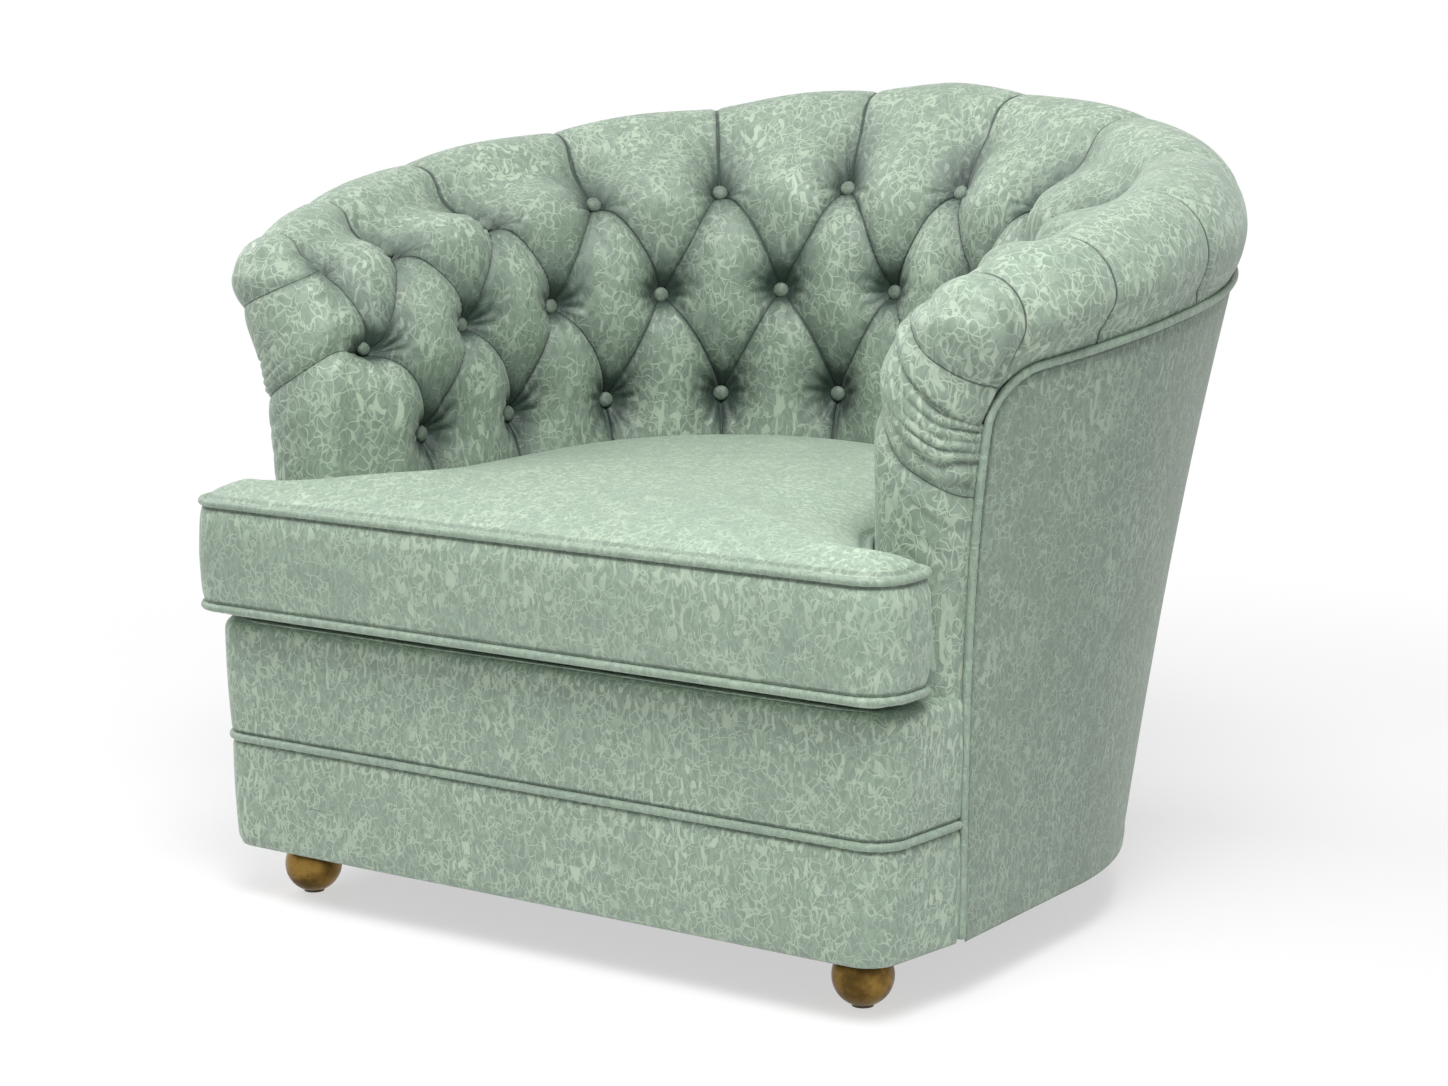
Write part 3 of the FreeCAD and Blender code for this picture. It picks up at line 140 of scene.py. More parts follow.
def place(step, r, z):
    """Points at radius r and height z in the upright planes of these steps."""
    step, r, z = np.broadcast_arrays(np.asarray(step, float), r, z)
    turn = np.minimum(np.abs(step), QUARTER_STEPS) * BUTTON_TURN
    ahead = past_barrel(step) * BUTTON_PITCH
    x = np.sign(step) * np.sin(turn) * r
    return np.stack([x, BARREL_Y - ahead + np.cos(turn) * r, z], axis=-1)


def level_outward(step):
    """Level direction away from the middle of the chair in the upright planes of these steps."""
    return place(step, 1.0, 0.0) - place(step, 0.0, 0.0)


def wall_recess(step):
    """How far the inside wall draws back on the way round the arm front."""
    ahead = past_barrel(step) * BUTTON_PITCH
    line = ARM_LINE - ARM_LINE_SLOPE * (BARREL_Y - ahead - FRONT_Y)
    return np.where(np.abs(step) < QUARTER_STEPS, 0.0, np.maximum(line - CREST_RADIUS, 0.0))


# Rows of buttons, 1 to 3 from the top: radius, distance below the top of the back, how much of
# the top's fall they follow, depth of the pinch and tilt of the buttons.
ROW_RADIUS = {1: 294.0, 2: 273.0, 3: 269.0}
ROW_BELOW = {1: 97.0, 2: 196.0, 3: 297.0}
ROW_FALL = {1: 0.62, 2: 0.34, 3: 0.19}
PINCH = {1: 20.0, 2: 24.0, 3: 20.0}
TILTS = {1: 0.55, 2: 0.12, 3: 0.0}
# How much less the top row is pinched at the arm fronts.
PINCH_LESS = 9.0


def button_spot(row, step):
    """Radius, height and depth of the pinch under a button."""
    share = forward_share(step)
    fall = (BACK_HEIGHT - ARM_HEIGHT) * ROW_FALL[row] * (np.abs(step) / 6.0) ** 1.77
    z = BACK_HEIGHT - ROW_BELOW[row] - fall
    if row > 1:
        return ROW_RADIUS[row] + wall_recess(step), z, PINCH[row]
    centre, _, radius = roll(step)
    r = ROW_RADIUS[1] + (centre - radius - ROW_RADIUS[1]) * share
    return r, z, PINCH[1] - PINCH_LESS * share


def full_spot(row, step):
    """Where the padding would stand, in (r, z), if a row of buttons did not pull it in."""
    r, z, depth = button_spot(row, step)
    length = math.hypot(1.0, TILTS[row])
    return r - depth / length, z + depth * TILTS[row] / length


# Tufted upholstery
# Rows of the mesh from the lower edge of the wall to the lip under the roll.
ROWS = {"foot": 0, 3: 40, 2: 84, 1: 128, "crest": 170, "side": 204, "lip": 226}
# The button rows as a number: 3, 2 and 1 at the rows, 0 at the lip and 5 at the foot.
MARKED_ROWS = [ROWS["lip"], ROWS[1], ROWS[2], ROWS[3], ROWS["foot"]]
ROW_NUMBERS = [0.0, 1.0, 2.0, 3.0, 5.0]
COLUMNS_A_STEP = 62
NOSE_COLUMNS = 60
PLEAT_CROWDING = 0.45
# Diamonds: width of a step along a row and height between rows.
STEP_WIDTH = 106.0
ROW_DROP = 99.0
ROW_MM = ROW_DROP / (ROWS[1] - ROWS[2])
# Rows below the crest of the folds wrapped round an arm front, how many rows further down they
# run at its seam on the left (-1) and the right arm (1), and how far below the upper one its
# tuck lies.
UPPER_WRAP = ROWS["crest"] - ROWS[1]
LOWER_WRAP = ROWS["crest"] - ROWS[2]
UPPER_SLIP = {-1: 0.0, 1: 5.0}
LOWER_SLIP = {-1: 1.0, 1: 11.0}
TUCK_ROWS = 10
# Depth of the gathers between the wrapped folds, which the right arm has heavier.
GATHER_DEPTH = {-1: 2.2, 1: 4.0}
# Change of the count in two rows beside a wrapped fold.
WRAP_SHARE = 2.0 / (ROWS[1] - ROWS[2])
# How far a heavy fold bows towards the middle of the back, in steps.
FOLD_BOW = 0.075
# The cloth dives this far past the seat of a button.
PIT_BELOW_BUTTON = 13.0
PIT_RADIUS = 15.5
# The tufting fades out this near the lip and the arm fronts, where it is at most so deep.
EDGE_FADE = 16.0
DEEPEST_AT_FRONT = 7.0
# How much slimmer the roll ends at an arm front, and how square the arm front is.
END_NARROWER = 5.0
ROUND_OFF = 0.97


def spline(points, knots, at):
    """Smooth curve through points given at knots, read at other places."""
    points = np.asarray(points, float)
    span = np.diff(knots)[:, None]
    slope = np.diff(points, axis=0) / span
    tangent = np.empty_like(points)
    tangent[1:-1] = (slope[:-1] * span[1:] + slope[1:] * span[:-1]) / (span[1:] + span[:-1])
    tangent[0], tangent[-1] = slope[0], slope[-1]
    index = np.clip(np.searchsorted(knots, at, side="right") - 1, 0, len(knots) - 2)
    width = span[index]
    t = ((at - knots[index])[:, None]) / width
    first, last = points[index], points[index + 1]
    curve = (2 * t ** 3 - 3 * t ** 2 + 1) * first
    curve = curve + (t ** 3 - 2 * t ** 2 + t) * width * tangent[index]
    curve = curve + (3 * t ** 2 - 2 * t ** 3) * last
    return curve + (t ** 3 - t ** 2) * width * tangent[index + 1]


def mound(count, power, lean=1.0):
    """Height of a pillow between two folds, where the count is whole; lean steepens one side."""
    f = count - np.floor(count)
    return 1 - np.abs(2 * (1 - f) ** lean - 1) ** power


def bell(x, width):
    return np.exp(-(x / width) ** 2)


def ease(x):
    x = np.clip(x, 0.0, 1.0)
    return x * x * (3 - 2 * x)


def ridges(waves, power):
    """Crests where the waves are a multiple of pi, narrower with a higher power."""
    return (1 - np.abs(np.sin(waves))) ** power


def uneven(x, y, size):
    """Slow fixed unevenness between -1 and 1."""
    a = np.sin(x / size * 1.7 + 0.3) * np.cos(y / size * 1.3 + 1.1)
    b = np.sin(x / size * 0.9 - y / size * 1.1 + 2.0)
    return 0.6 * a + 0.4 * b


def run_along(points):
    """Distance along a line of points at each of them."""
    lengths = np.linalg.norm(np.diff(points, axis=0), axis=1)
    return np.concatenate([[0], np.cumsum(lengths)])


def wall_curve(step):
    """Full outline of the padding in one upright plane, as (r, z) for each row of the mesh."""
    centre, height, radius = roll(step)
    narrower = END_NARROWER * float(ease((abs(step) - NOSE_STEP) / 0.45 + 1))
    radius, height = radius - narrower, height + 0.4 * narrower
    low, middle, high = (full_spot(row, step) for row in (3, 2, 1))
    shoulder = ((middle[0] + high[0]) / 2 - 4.0, (middle[1] + high[1]) / 2)
    marks = [((CREST_RADIUS + wall_recess(step) + 1.0, WALL_FOOT), ROWS["foot"]), (low, ROWS[3]),
             (middle, ROWS[2]), (shoulder, ROWS[2] + 22), (high, ROWS[1])]
    begin, crest = 150.0 - 14.0 * forward_share(step), ROWS["crest"]
    for turn, row in ((begin, ROWS[1] + 13), (120.0, ROWS[1] + 27), (90.0, crest),
                      (60.0, crest + 11), (30.0, crest + 23), (0.0, ROWS["side"])):
        angle = math.radians(turn)
        marks.append(((centre + radius * math.cos(angle), height + radius * math.sin(angle)), row))
    side = marks[-1][0]
    lip = bend_height(step, NOSE_STEP) + 3.0
    under = (float(shell_radius(step, lip)) - 1.5, float(lip))
    bow = ((side[0] + under[0]) / 2 + 3.0, (side[1] + under[1]) / 2)
    marks += [(bow, ROWS["side"] + 10), (under, ROWS["lip"])]
    points = np.array([[float(value) for value in spot] for spot, _ in marks])
    lengths = np.concatenate([[0], np.cumsum(np.hypot(*np.diff(points, axis=0).T))])
    rows = np.interp(np.arange(ROWS["lip"] + 1), [row for _, row in marks], lengths)
    return spline(points, lengths, rows)


def rows_below_crest(rho):
    return ROWS["crest"] - np.interp(rho, ROW_NUMBERS, MARKED_ROWS)


def wrap_count(rows, upper, lower):
    """Count that is whole on the two folds wrapped round an arm front, at rows below the crest."""
    between_folds = ROWS[1] - ROWS[2]
    at = [upper - between_folds, upper - 2.0, upper + 2.0, (upper + lower) / 2,
          lower - 2.0, lower + 2.0, lower + between_folds]
    counts = [-0.5, -WRAP_SHARE, WRAP_SHARE, 0.5, 1 - WRAP_SHARE, 1 + WRAP_SHARE, 1.5]
    return np.interp(rows, at, counts)


def folds(step, rho):
    """Button count along a row, and where the folds are.

    fold_out is whole on the folds that run down and out, fold_in on those that run down and in,
    and fold_wrap on those wrapped round an arm front; tufted and wrapped say where there are any.
    """
    held = np.clip(rho, 1.0, 3.0)
    # The last top button stands a little nearer than its place.
    extra = (5.5 - LAST_BUTTON_STEP) / (LAST_BUTTON_STEP - 4.5)
    stretch = np.maximum(np.abs(step) - 4.5, 0.0) * extra * np.clip(2 - rho, 0, 1)
    k = step + np.sign(step) * stretch
    off_button = 1 - bell(k * 2 - np.round(k * 2), 0.2)
    k = k + 0.012 * uneven(step * STEP_WIDTH, rho * ROW_DROP, 60.0) * off_button
    away = np.abs(k)
    bow = FOLD_BOW * ease(away / 0.6) * np.sin(np.pi * (held - np.floor(held)))
    past_second = ease((away - 5.02) / 0.04) * ease((rho - 1.9) / 0.2)
    past_first = ease((away - 5.47) / 0.05) * ease((rho - 0.96) / 0.05)
    lower_end, upper_end = ease((away - 5.0) / 0.04), ease((away - 5.5) / 0.03)
    return k, {
        "fold_out": away - held / 2,
        "fold_in": away + held / 2 + bow,
        "tufted": (1 - past_second) * (1 - past_first),
        "fold_wrap": wrap_count(rows_below_crest(rho), UPPER_WRAP, LOWER_WRAP),
        "wrapped": np.where(rho > 1.5, lower_end, upper_end),
    }


def whole(count):
    """Distance of a count from the nearest whole number."""
    return np.abs(count - np.round(count))


def tufting(step, rho, to_lip, k, lines):
    """How far the cloth is pulled in below the full padding, and how much painted shade it gets."""
    outer, inner, tufted = lines["fold_out"], lines["fold_in"], lines["tufted"]
    held = np.clip(rho, 1.0, 3.0)
    share = forward_share(step)
    on_roll = ease((1.25 - rho) / 0.6)
    below = ease((rho - 3.05) / 0.5)

    # Pillows between the folds
    lean = 1.0 + 0.5 * ease(np.abs(k) / 0.6) * (1 - on_roll) * (1 - below)
    power = 3.0 + 5.0 * on_roll + 3.0 * below
    soft = mound(outer, 2.0) * mound(inner, 2.0, lean)
    tight = np.sqrt(np.maximum(mound(outer, power) * mound(inner, power, lean), 0.0))
    soft, tight = (1 - (1 - height) * tufted for height in (soft, tight))
    dome = 6.5 - 4.0 * on_roll - 3.0 * below
    valley = 5.0 - 2.4 * on_roll - 2.8 * below
    calm = 1 - 0.45 * share * on_roll

    # Distance from the nearest button
    across, along = inner - np.round(inner), outer - np.round(outer)
    straight = np.abs(k) + held / 2
    across = np.where(whole(straight) < 0.25, straight - np.round(straight), across)
    beyond = (rho - held) * np.where(rho < 1, 150.0, 80.0)
    sideways, upward = STEP_WIDTH / 2 * (across + along), ROW_DROP * (across - along)
    distance = np.hypot(np.hypot(sideways, upward), beyond)
    distance = distance + 60.0 * ease((np.abs(k) - 5.12) / 0.12) * ease((rho - 2.3) / 0.2)
    pinch = np.interp(held, list(PINCH), list(PINCH.values()))
    pinch = pinch - PINCH_LESS * share * ease(2 - rho)
    pit = np.exp(-(distance / PIT_RADIUS) ** 1.15)

    inward = calm * (dome * (1 - soft) + valley * (1 - tight))
    inward = inward * (1 - pit) + (pinch + PIT_BELOW_BUTTON) * pit
    angle = np.arctan2(upward + beyond, sideways + 1e-6)
    rays = np.sin(11 * angle + 3 * np.round(k * 2))
    inward = inward + 1.3 * bell(distance - 20.0, 13.0) * rays
    line = np.minimum(whole(inner), whole(outer)) * 93.5
    inward = inward + 1.6 * bell(line, 1.9) * tufted
    down = rows_below_crest(rho)
    to_wrap = np.minimum(np.abs(down - UPPER_WRAP), np.abs(down - LOWER_WRAP)) * ROW_MM
    wrap_valley = 3.0 * bell(to_wrap, 11.0) + 2.5 * bell(to_wrap, 3.5)
    inward = inward + lines["wrapped"] * wrap_valley * (1 - pit)
    inward = inward + 1.4 * uneven(step * STEP_WIDTH, rho * ROW_DROP, 33.0) * tight

    # Painted shade: dark round each button's pit, reaching further on one side of it, over the
    # inside wall between the pillow crowns and down the folds, and lighter on the roll.
    reach = 24.0 - 10.0 * ease((across - along) * 6.0 + 0.4) - 5.0 * on_roll
    shade = np.exp(-(distance / reach) ** 1.6) + (0.05 + 0.24 * (1 - soft)) * (1 - on_roll)
    shade = shade + (0.36 - 0.22 * on_roll) * (1 - tight) ** 1.5
    near_front = 1 - ease((NOSE_STEP - np.abs(step)) * BUTTON_PITCH / EDGE_FADE)
    shallow = DEEPEST_AT_FRONT * np.tanh(inward / DEEPEST_AT_FRONT)
    inward = inward * (1 - near_front) + shallow * near_front
    return inward * ease(to_lip / EDGE_FADE), np.clip(shade, 0, 1)


def surface_normals(points):
    """Unit normals of a grid of points, from its neighbours."""
    normal = np.cross(np.gradient(points, axis=0), np.gradient(points, axis=1))
    length = np.linalg.norm(normal, axis=2, keepdims=True)
    return normal / np.maximum(length, 1e-9)


def crowded(step):
    """Steps moved closer together at the pleats over the roll."""
    return step - PLEAT_CROWDING * np.sin(2 * math.pi * (step - 0.5)) / (2 * math.pi)


def tufted_wall():
    """Steps, points and cloth values of the inside, from one arm front to the other."""
    count = int(round(2 * NOSE_STEP * COLUMNS_A_STEP))
    steps = crowded(np.linspace(-NOSE_STEP, NOSE_STEP, count + 1)) * NOSE_STEP / crowded(NOSE_STEP)
    rows = np.arange(ROWS["lip"] + 1)
    curves = np.array([wall_curve(s) for s in steps])
    full = place(steps[:, None], curves[:, :, 0], curves[:, :, 1])
    rho = np.interp(rows, MARKED_ROWS[::-1], ROW_NUMBERS[::-1])[None, :] * np.ones((len(steps), 1))
    to_lip = (ROWS["lip"] - rows)[None, :] * ROW_MM
    k, lines = folds(steps[:, None], rho)
    inward, shade = tufting(steps[:, None], rho, to_lip, k, lines)
    normal = surface_normals(full)
    outward = level_outward(steps)
    level = (normal * outward[:, None, :]).sum(axis=2)
    if np.median(level[:, ROWS[2]]) < 0:
        normal, level = -normal, -level
    upward = normal[:, :, 2:3] * np.array([0.0, 0.0, 1.0])
    normal = level[:, :, None] * outward[:, None, :] + upward
    normal /= np.linalg.norm(normal, axis=2, keepdims=True)
    return steps, full + normal * inward[:, :, None], {"fold": shade, **lines}


def wall_back(steps, wall):
    """Rows that close the padding behind, from the lip down and back under its foot."""
    shares = np.array([0.0, 0.04, 0.12, 0.35, 0.65, 1.0])
    lip = wall[:, -1, 2]
    z = lip[:, None] + (WALL_FOOT - lip[:, None]) * shares[None, :]
    points = place(steps[:, None], shell_radius(steps[:, None], z) - 12.0, z)
    points[:, 0] = wall[:, -1]
    return np.concatenate([points, wall[:, :1]], axis=1)


def nose(side, border):
    """Full shape of a rounded arm front, from the inside border to the outside seam."""
    crest, lip = ROWS["crest"], ROWS["lip"]
    rolled = lip - crest
    inner = border[crest::-1]
    seam_rows = crest - rolled
    knots = np.array([0.0, LOWER_WRAP - rolled, seam_rows])
    seam_z = np.interp(np.arange(1, seam_rows + 1), knots, [border[lip][2], 437.0, WALL_FOOT])
    seam_x = side * (shell_radius(SEAM_STEP, seam_z) - 2.0)
    seam = np.stack([seam_x, np.full_like(seam_x, NOSE_Y + 2.5), seam_z], axis=1)
    outer = np.concatenate([border[crest:lip + 1], seam])
    phi = np.linspace(0, math.pi, NOSE_COLUMNS + 1)
    middle, half = (inner + outer) / 2, (inner - outer) / 2
    ahead = np.interp(middle[:, 2], [400.0, 500.0], [36.0, 42.0])
    cap = np.clip(np.abs(half[:, 0]) / ARM_ROLL, 0, 1)
    above_fold = np.arange(crest + 1) < UPPER_WRAP
    ahead = np.where(above_fold, ahead * cap, ahead * np.maximum(cap, 0.9))
    cosine = np.sign(np.cos(phi)) * np.abs(np.cos(phi)) ** ROUND_OFF
    sine = np.sin(phi) ** ROUND_OFF
    blend = (1 - np.cos(phi)) / 2
    full = middle[:, None, :] + half[:, None, :] * cosine[None, :, None]
    full[:, :, 2] = inner[:, None, 2] + (outer - inner)[:, None, 2] * blend[None, :] ** 0.8
    full[:, :, 1] -= ahead[:, None] * sine[None, :]
    return inner, outer, full, phi


def arm_front(side, border, cloth):
    """Points and cloth values of an arm front, with its wrapped folds and gathers."""
    rolled = ROWS["lip"] - ROWS["crest"]
    inner, outer, full, phi = nose(side, border)
    q, phi = np.arange(ROWS["crest"] + 1)[:, None].astype(float), phi[None, :]
    slipped = ease(phi / 1.6)
    upper = UPPER_WRAP + UPPER_SLIP[side] * slipped
    tuck, lower = upper + TUCK_ROWS, LOWER_WRAP + LOWER_SLIP[side] * slipped
    to_fold = np.minimum(np.abs(q - upper), np.abs(q - lower)) * ROW_MM
    to_tuck = np.abs(q - tuck) * ROW_MM
    tucked = ease((phi - 0.5) / 0.6) * (side > 0)
    valley = 2.2 * bell(to_fold, 10.0) + 1.4 * bell(to_fold, 3.0) + 0.8 * bell(to_fold, 1.5)
    valley = valley + 1.9 * bell(to_tuck, 3.4) * tucked

    # Creases that fan out from the outer corner under the roll
    inland = (math.pi - phi) * 38.0
    from_corner = np.hypot((rolled - q) * ROW_MM, inland)
    fan = np.arctan2((rolled - q) * ROW_MM, inland + 3.0)
    waves = fan * 4.6 + 0.35 * np.sin(from_corner / 9.0) + 0.4
    creased = ridges(waves, 1.3) * ease(from_corner / 9.0) * bell(from_corner, 58.0)
    creased = creased * ease((upper - q) / 3.0)

    # Level gathers between the folds, and ripples below them
    run = np.clip((q - tuck) / (lower - tuck), 0.0, 1.0)
    waves = 5.2 * run + 0.3 * np.sin(2.1 * phi + 1.0) + 0.12 * np.sin(5.3 * phi)
    gathered = ridges(math.pi * waves, 1.3) * ease(run / 0.07) * ease((1 - run) / 0.07)
    gathered = gathered * (0.7 + 0.3 * np.sin(9.0 * run + 1.0))
    waves = (q - lower) / 9.0 + 0.25 * np.sin(2.0 * phi)
    rippled = ridges(math.pi * waves, 2) * ease((q - lower) / 8.0) * bell(q - lower, 34.0)
    outward = ease((phi / math.pi - 0.2) / 0.5)
    gather = 4.2 * creased + outward * (GATHER_DEPTH[side] * gathered + 1.3 * rippled)
    belly = -1.5 * mound(np.clip(run, 0.001, 0.999), 2.0) * np.sin(phi) ** 2

    pull = (valley + gather + belly) * ease(phi / 0.35) * ease((math.pi - phi) / 0.16)
    normal = surface_normals(full)
    if np.median(normal[LOWER_WRAP:, NOSE_COLUMNS // 2, 1]) < 0:
        normal = -normal
    points = full + normal * pull[:, :, None]
    points[:, 0] = inner
    points[:rolled + 1, -1] = outer[:rolled + 1]
    points[0] = border[ROWS["crest"]]
    begin = ease(phi / 0.5)
    front = {name: values[ROWS["crest"]::-1][:, None] * np.ones_like(phi)
             for name, values in cloth.items()}
    # Painted shade in the wrapped folds, under the right arm's tuck and in the gathers.
    shadow = 0.22 * bell(to_fold, 5.0) + 0.5 * bell(to_tuck, 2.6) * tucked + 0.13 * gather
    front["fold"] = front["fold"] * (1 - begin) + begin * np.clip(shadow, 0, 1)
    front["tufted"] = front["tufted"] * (phi == 0)
    counts = [wrap_count(q[:, 0], *places) for places in zip(upper[0], lower[0])]
    front["fold_wrap"] = np.stack(counts, axis=1)
    front["wrapped"] = np.where(phi > 0, 1.0, front["wrapped"])
    return points, front


# Meshes
def lay(bm, points, cloth=None):
    """Grid of quads with its corners at the given points, in millimetres, and its cloth values."""
    across, along = points.shape[:2]
    floats = bm.verts.layers.float
    cloth = cloth or {}
    for name in cloth:
        if floats.get(name) is None:
            floats.new(name)
    layers = [(floats[name], values.tolist()) for name, values in cloth.items()]
    made = bmesh.ops.create_grid(bm, x_segments=across - 1, y_segments=along - 1, size=1.0)["verts"]
    spots = (points * MM).tolist()
    for vertex in made:
        i = int(round((vertex.co.x + 1) / 2 * (across - 1)))
        j = int(round((vertex.co.y + 1) / 2 * (along - 1)))
        vertex.co = spots[i][j]
        for layer, values in layers:
            vertex[layer] = values[i][j]


def merge(bm, distance=0.00002):
    """Joins the corners that are closer than a distance in metres."""
    bmesh.ops.remove_doubles(bm, verts=bm.verts, dist=distance)


def close_up(bm):
    """Fills the open edges of a mesh, without large many-sided faces."""
    bmesh.ops.holes_fill(bm, edges=bm.edges, sides=0)
    bmesh.ops.triangulate(bm, faces=[f for f in bm.faces if len(f.verts) > 4])


def solid_sheet(bm, thickness):
    bmesh.ops.solidify(bm, geom=bm.faces[:], thickness=thickness * MM)


def linked(name, data):
    """Object with this data, in the scene."""
    item = bpy.data.objects.new(name, data)
    bpy.context.scene.collection.objects.link(item)
    return item


def from_bmesh(bm, name, material):
    mesh = bpy.data.meshes.new(name)
    bm.to_mesh(mesh)
    bm.free()
    mesh.materials.append(material)
    return linked(name, mesh)


def smooth(piece):
    for polygon in piece.data.polygons:
        polygon.use_smooth = True


def finish_mesh(bm, name, material, body):
    """Smooth object from a bmesh, with its faces outward, on its body."""
    bmesh.ops.recalc_face_normals(bm, faces=bm.faces)
    piece = from_bmesh(bm, name, material)
    smooth(piece)
    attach(piece, body)
    return piece


def even(path, spacing, closed=False):
    """The same path with its points evenly spaced."""
    path = np.asarray(path, float)
    if closed:
        path = np.vstack([path, path[:1]])
    run = run_along(path)
    count = max(int(round(run[-1] / spacing)), 2)
    at = np.linspace(0, run[-1], count + 1)
    spread = np.stack([np.interp(at, run, path[:, axis]) for axis in range(path.shape[1])], axis=1)
    return spread[:-1] if closed else spread


WELT_SIDES = 12
WELT_SPACING = 3.0
STITCH_PITCH = 11.0


def welt(name, node, path, pucker, body="chair", closed=False):
    """Piping along a path of points in millimetres, slightly puckered by its stitches."""
    path = even(path, WELT_SPACING, closed)
    ahead = np.roll(path, -1, 0) - np.roll(path, 1, 0) if closed else np.gradient(path, axis=0)
    ahead /= np.linalg.norm(ahead, axis=1, keepdims=True)
    normal = np.cross(ahead[0], [0.3, 0.2, 1.0])
    run = run_along(path)
    stitches = run / STITCH_PITCH * 2 * math.pi + 1.3 * np.sin(run / 47.0)
    width = WELT_RADIUS + pucker * np.sin(stitches)
    turns = np.linspace(0, 2 * math.pi, WELT_SIDES + 1)
    rings = []
    for point, direction, size in zip(path, ahead, width):
        normal = normal - direction * normal.dot(direction)
        normal /= np.linalg.norm(normal)
        third = np.cross(direction, normal)
        rings.append([point + size * (math.cos(a) * normal + math.sin(a) * third) for a in turns])
    if closed:
        rings.append(rings[0])
    bm = bmesh.new()
    lay(bm, np.array(rings))
    merge(bm)
    if not closed:
        bmesh.ops.holes_fill(bm, edges=bm.edges, sides=WELT_SIDES)
    piping = finish_mesh(bm, name, PIPING, body)
    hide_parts(node)


def rounded(corners, z, arc_points, side_points, closed=True):
    """Outline through (x, y, radius) corners, with the same number of points at any size."""
    corners = [np.array(c, float) for c in corners]
    count = len(corners)
    arcs = []
    for i, corner in enumerate(corners):
        here, radius = corner[:2], corner[2]
        if not closed and i in (0, count - 1) or radius <= 0:
            arcs.append(np.array([here]))
            continue
        back, onward = corners[i - 1][:2] - here, corners[(i + 1) % count][:2] - here
        back, onward = back / np.linalg.norm(back), onward / np.linalg.norm(onward)
        half = math.acos(np.clip(back.dot(onward), -1, 1)) / 2
        bisector = (back + onward) / np.linalg.norm(back + onward)
        centre = here + bisector * radius / math.sin(half)
        start = here + back * radius / math.tan(half) - centre
        end = here + onward * radius / math.tan(half) - centre
        first = math.atan2(start[1], start[0])
        sweep = (math.atan2(end[1], end[0]) - first + math.pi) % (2 * math.pi) - math.pi
        angles = first + sweep * np.linspace(0, 1, arc_points + 1)
        arcs.append(centre + radius * np.stack([np.cos(angles), np.sin(angles)], axis=1))
    line = []
    for i, bend in enumerate(arcs):
        line.extend(bend)
        if closed or i < count - 1:
            following = arcs[(i + 1) % count][0]
            share = np.linspace(0, 1, side_points + 1)[1:-1, None]
            line.extend(bend[-1] + (following - bend[-1]) * share)
    line = np.array(line)
    return np.column_stack([line, np.full(len(line), z)])


# Materials
class Signal:
    """A number that varies over a surface, with ordinary arithmetic."""

    def __init__(self, tree, socket):
        self.tree = tree
        self.socket = socket

    def join(self, operation, other=0.0, turned=False):
        pair = (other, self) if turned else (self, other)
        return self.tree.make("ShaderNodeMath", {"operation": operation}, *pair)

    def __add__(self, other):
        return self.join("ADD", other)

    def __mul__(self, other):
        return self.join("MULTIPLY", other)

    def __sub__(self, other):
        return self.join("SUBTRACT", other)

    def __rsub__(self, other):
        return self.join("SUBTRACT", other, True)

    def __truediv__(self, other):
        return self.join("DIVIDE", other)

    def __rtruediv__(self, other):
        return self.join("DIVIDE", other, True)

    def __abs__(self):
        return self.join("ABSOLUTE")

    __radd__ = __add__
    __rmul__ = __mul__


class Tree:
    """The nodes of a material or of the world."""

    def __init__(self, owner, output):
        owner.use_nodes = True
        self.nodes = owner.node_tree.nodes
        self.nodes.clear()
        self.link = owner.node_tree.links.new
        self.surface = self.nodes.new(output).inputs["Surface"]

    def feed(self, socket, value):
        if isinstance(value, Signal):
            self.link(value.socket, socket)
        elif isinstance(value, tuple) and len(socket.default_value) == 4 and len(value) == 3:
            socket.default_value = (*value, 1.0)
        else:
            socket.default_value = value

    def make(self, kind, settings=None, *values, output=0, **named):
        """Node of a kind: its settings, then its inputs in order, then its named inputs."""
        node = self.nodes.new(kind)
        for key, value in (settings or {}).items():
            setattr(node, key, value)
        for socket, value in zip(node.inputs, values):
            self.feed(socket, value)
        for key, value in named.items():
            self.feed(node.inputs[key.replace("_", " ")], value)
        return Signal(self, node.outputs[output])


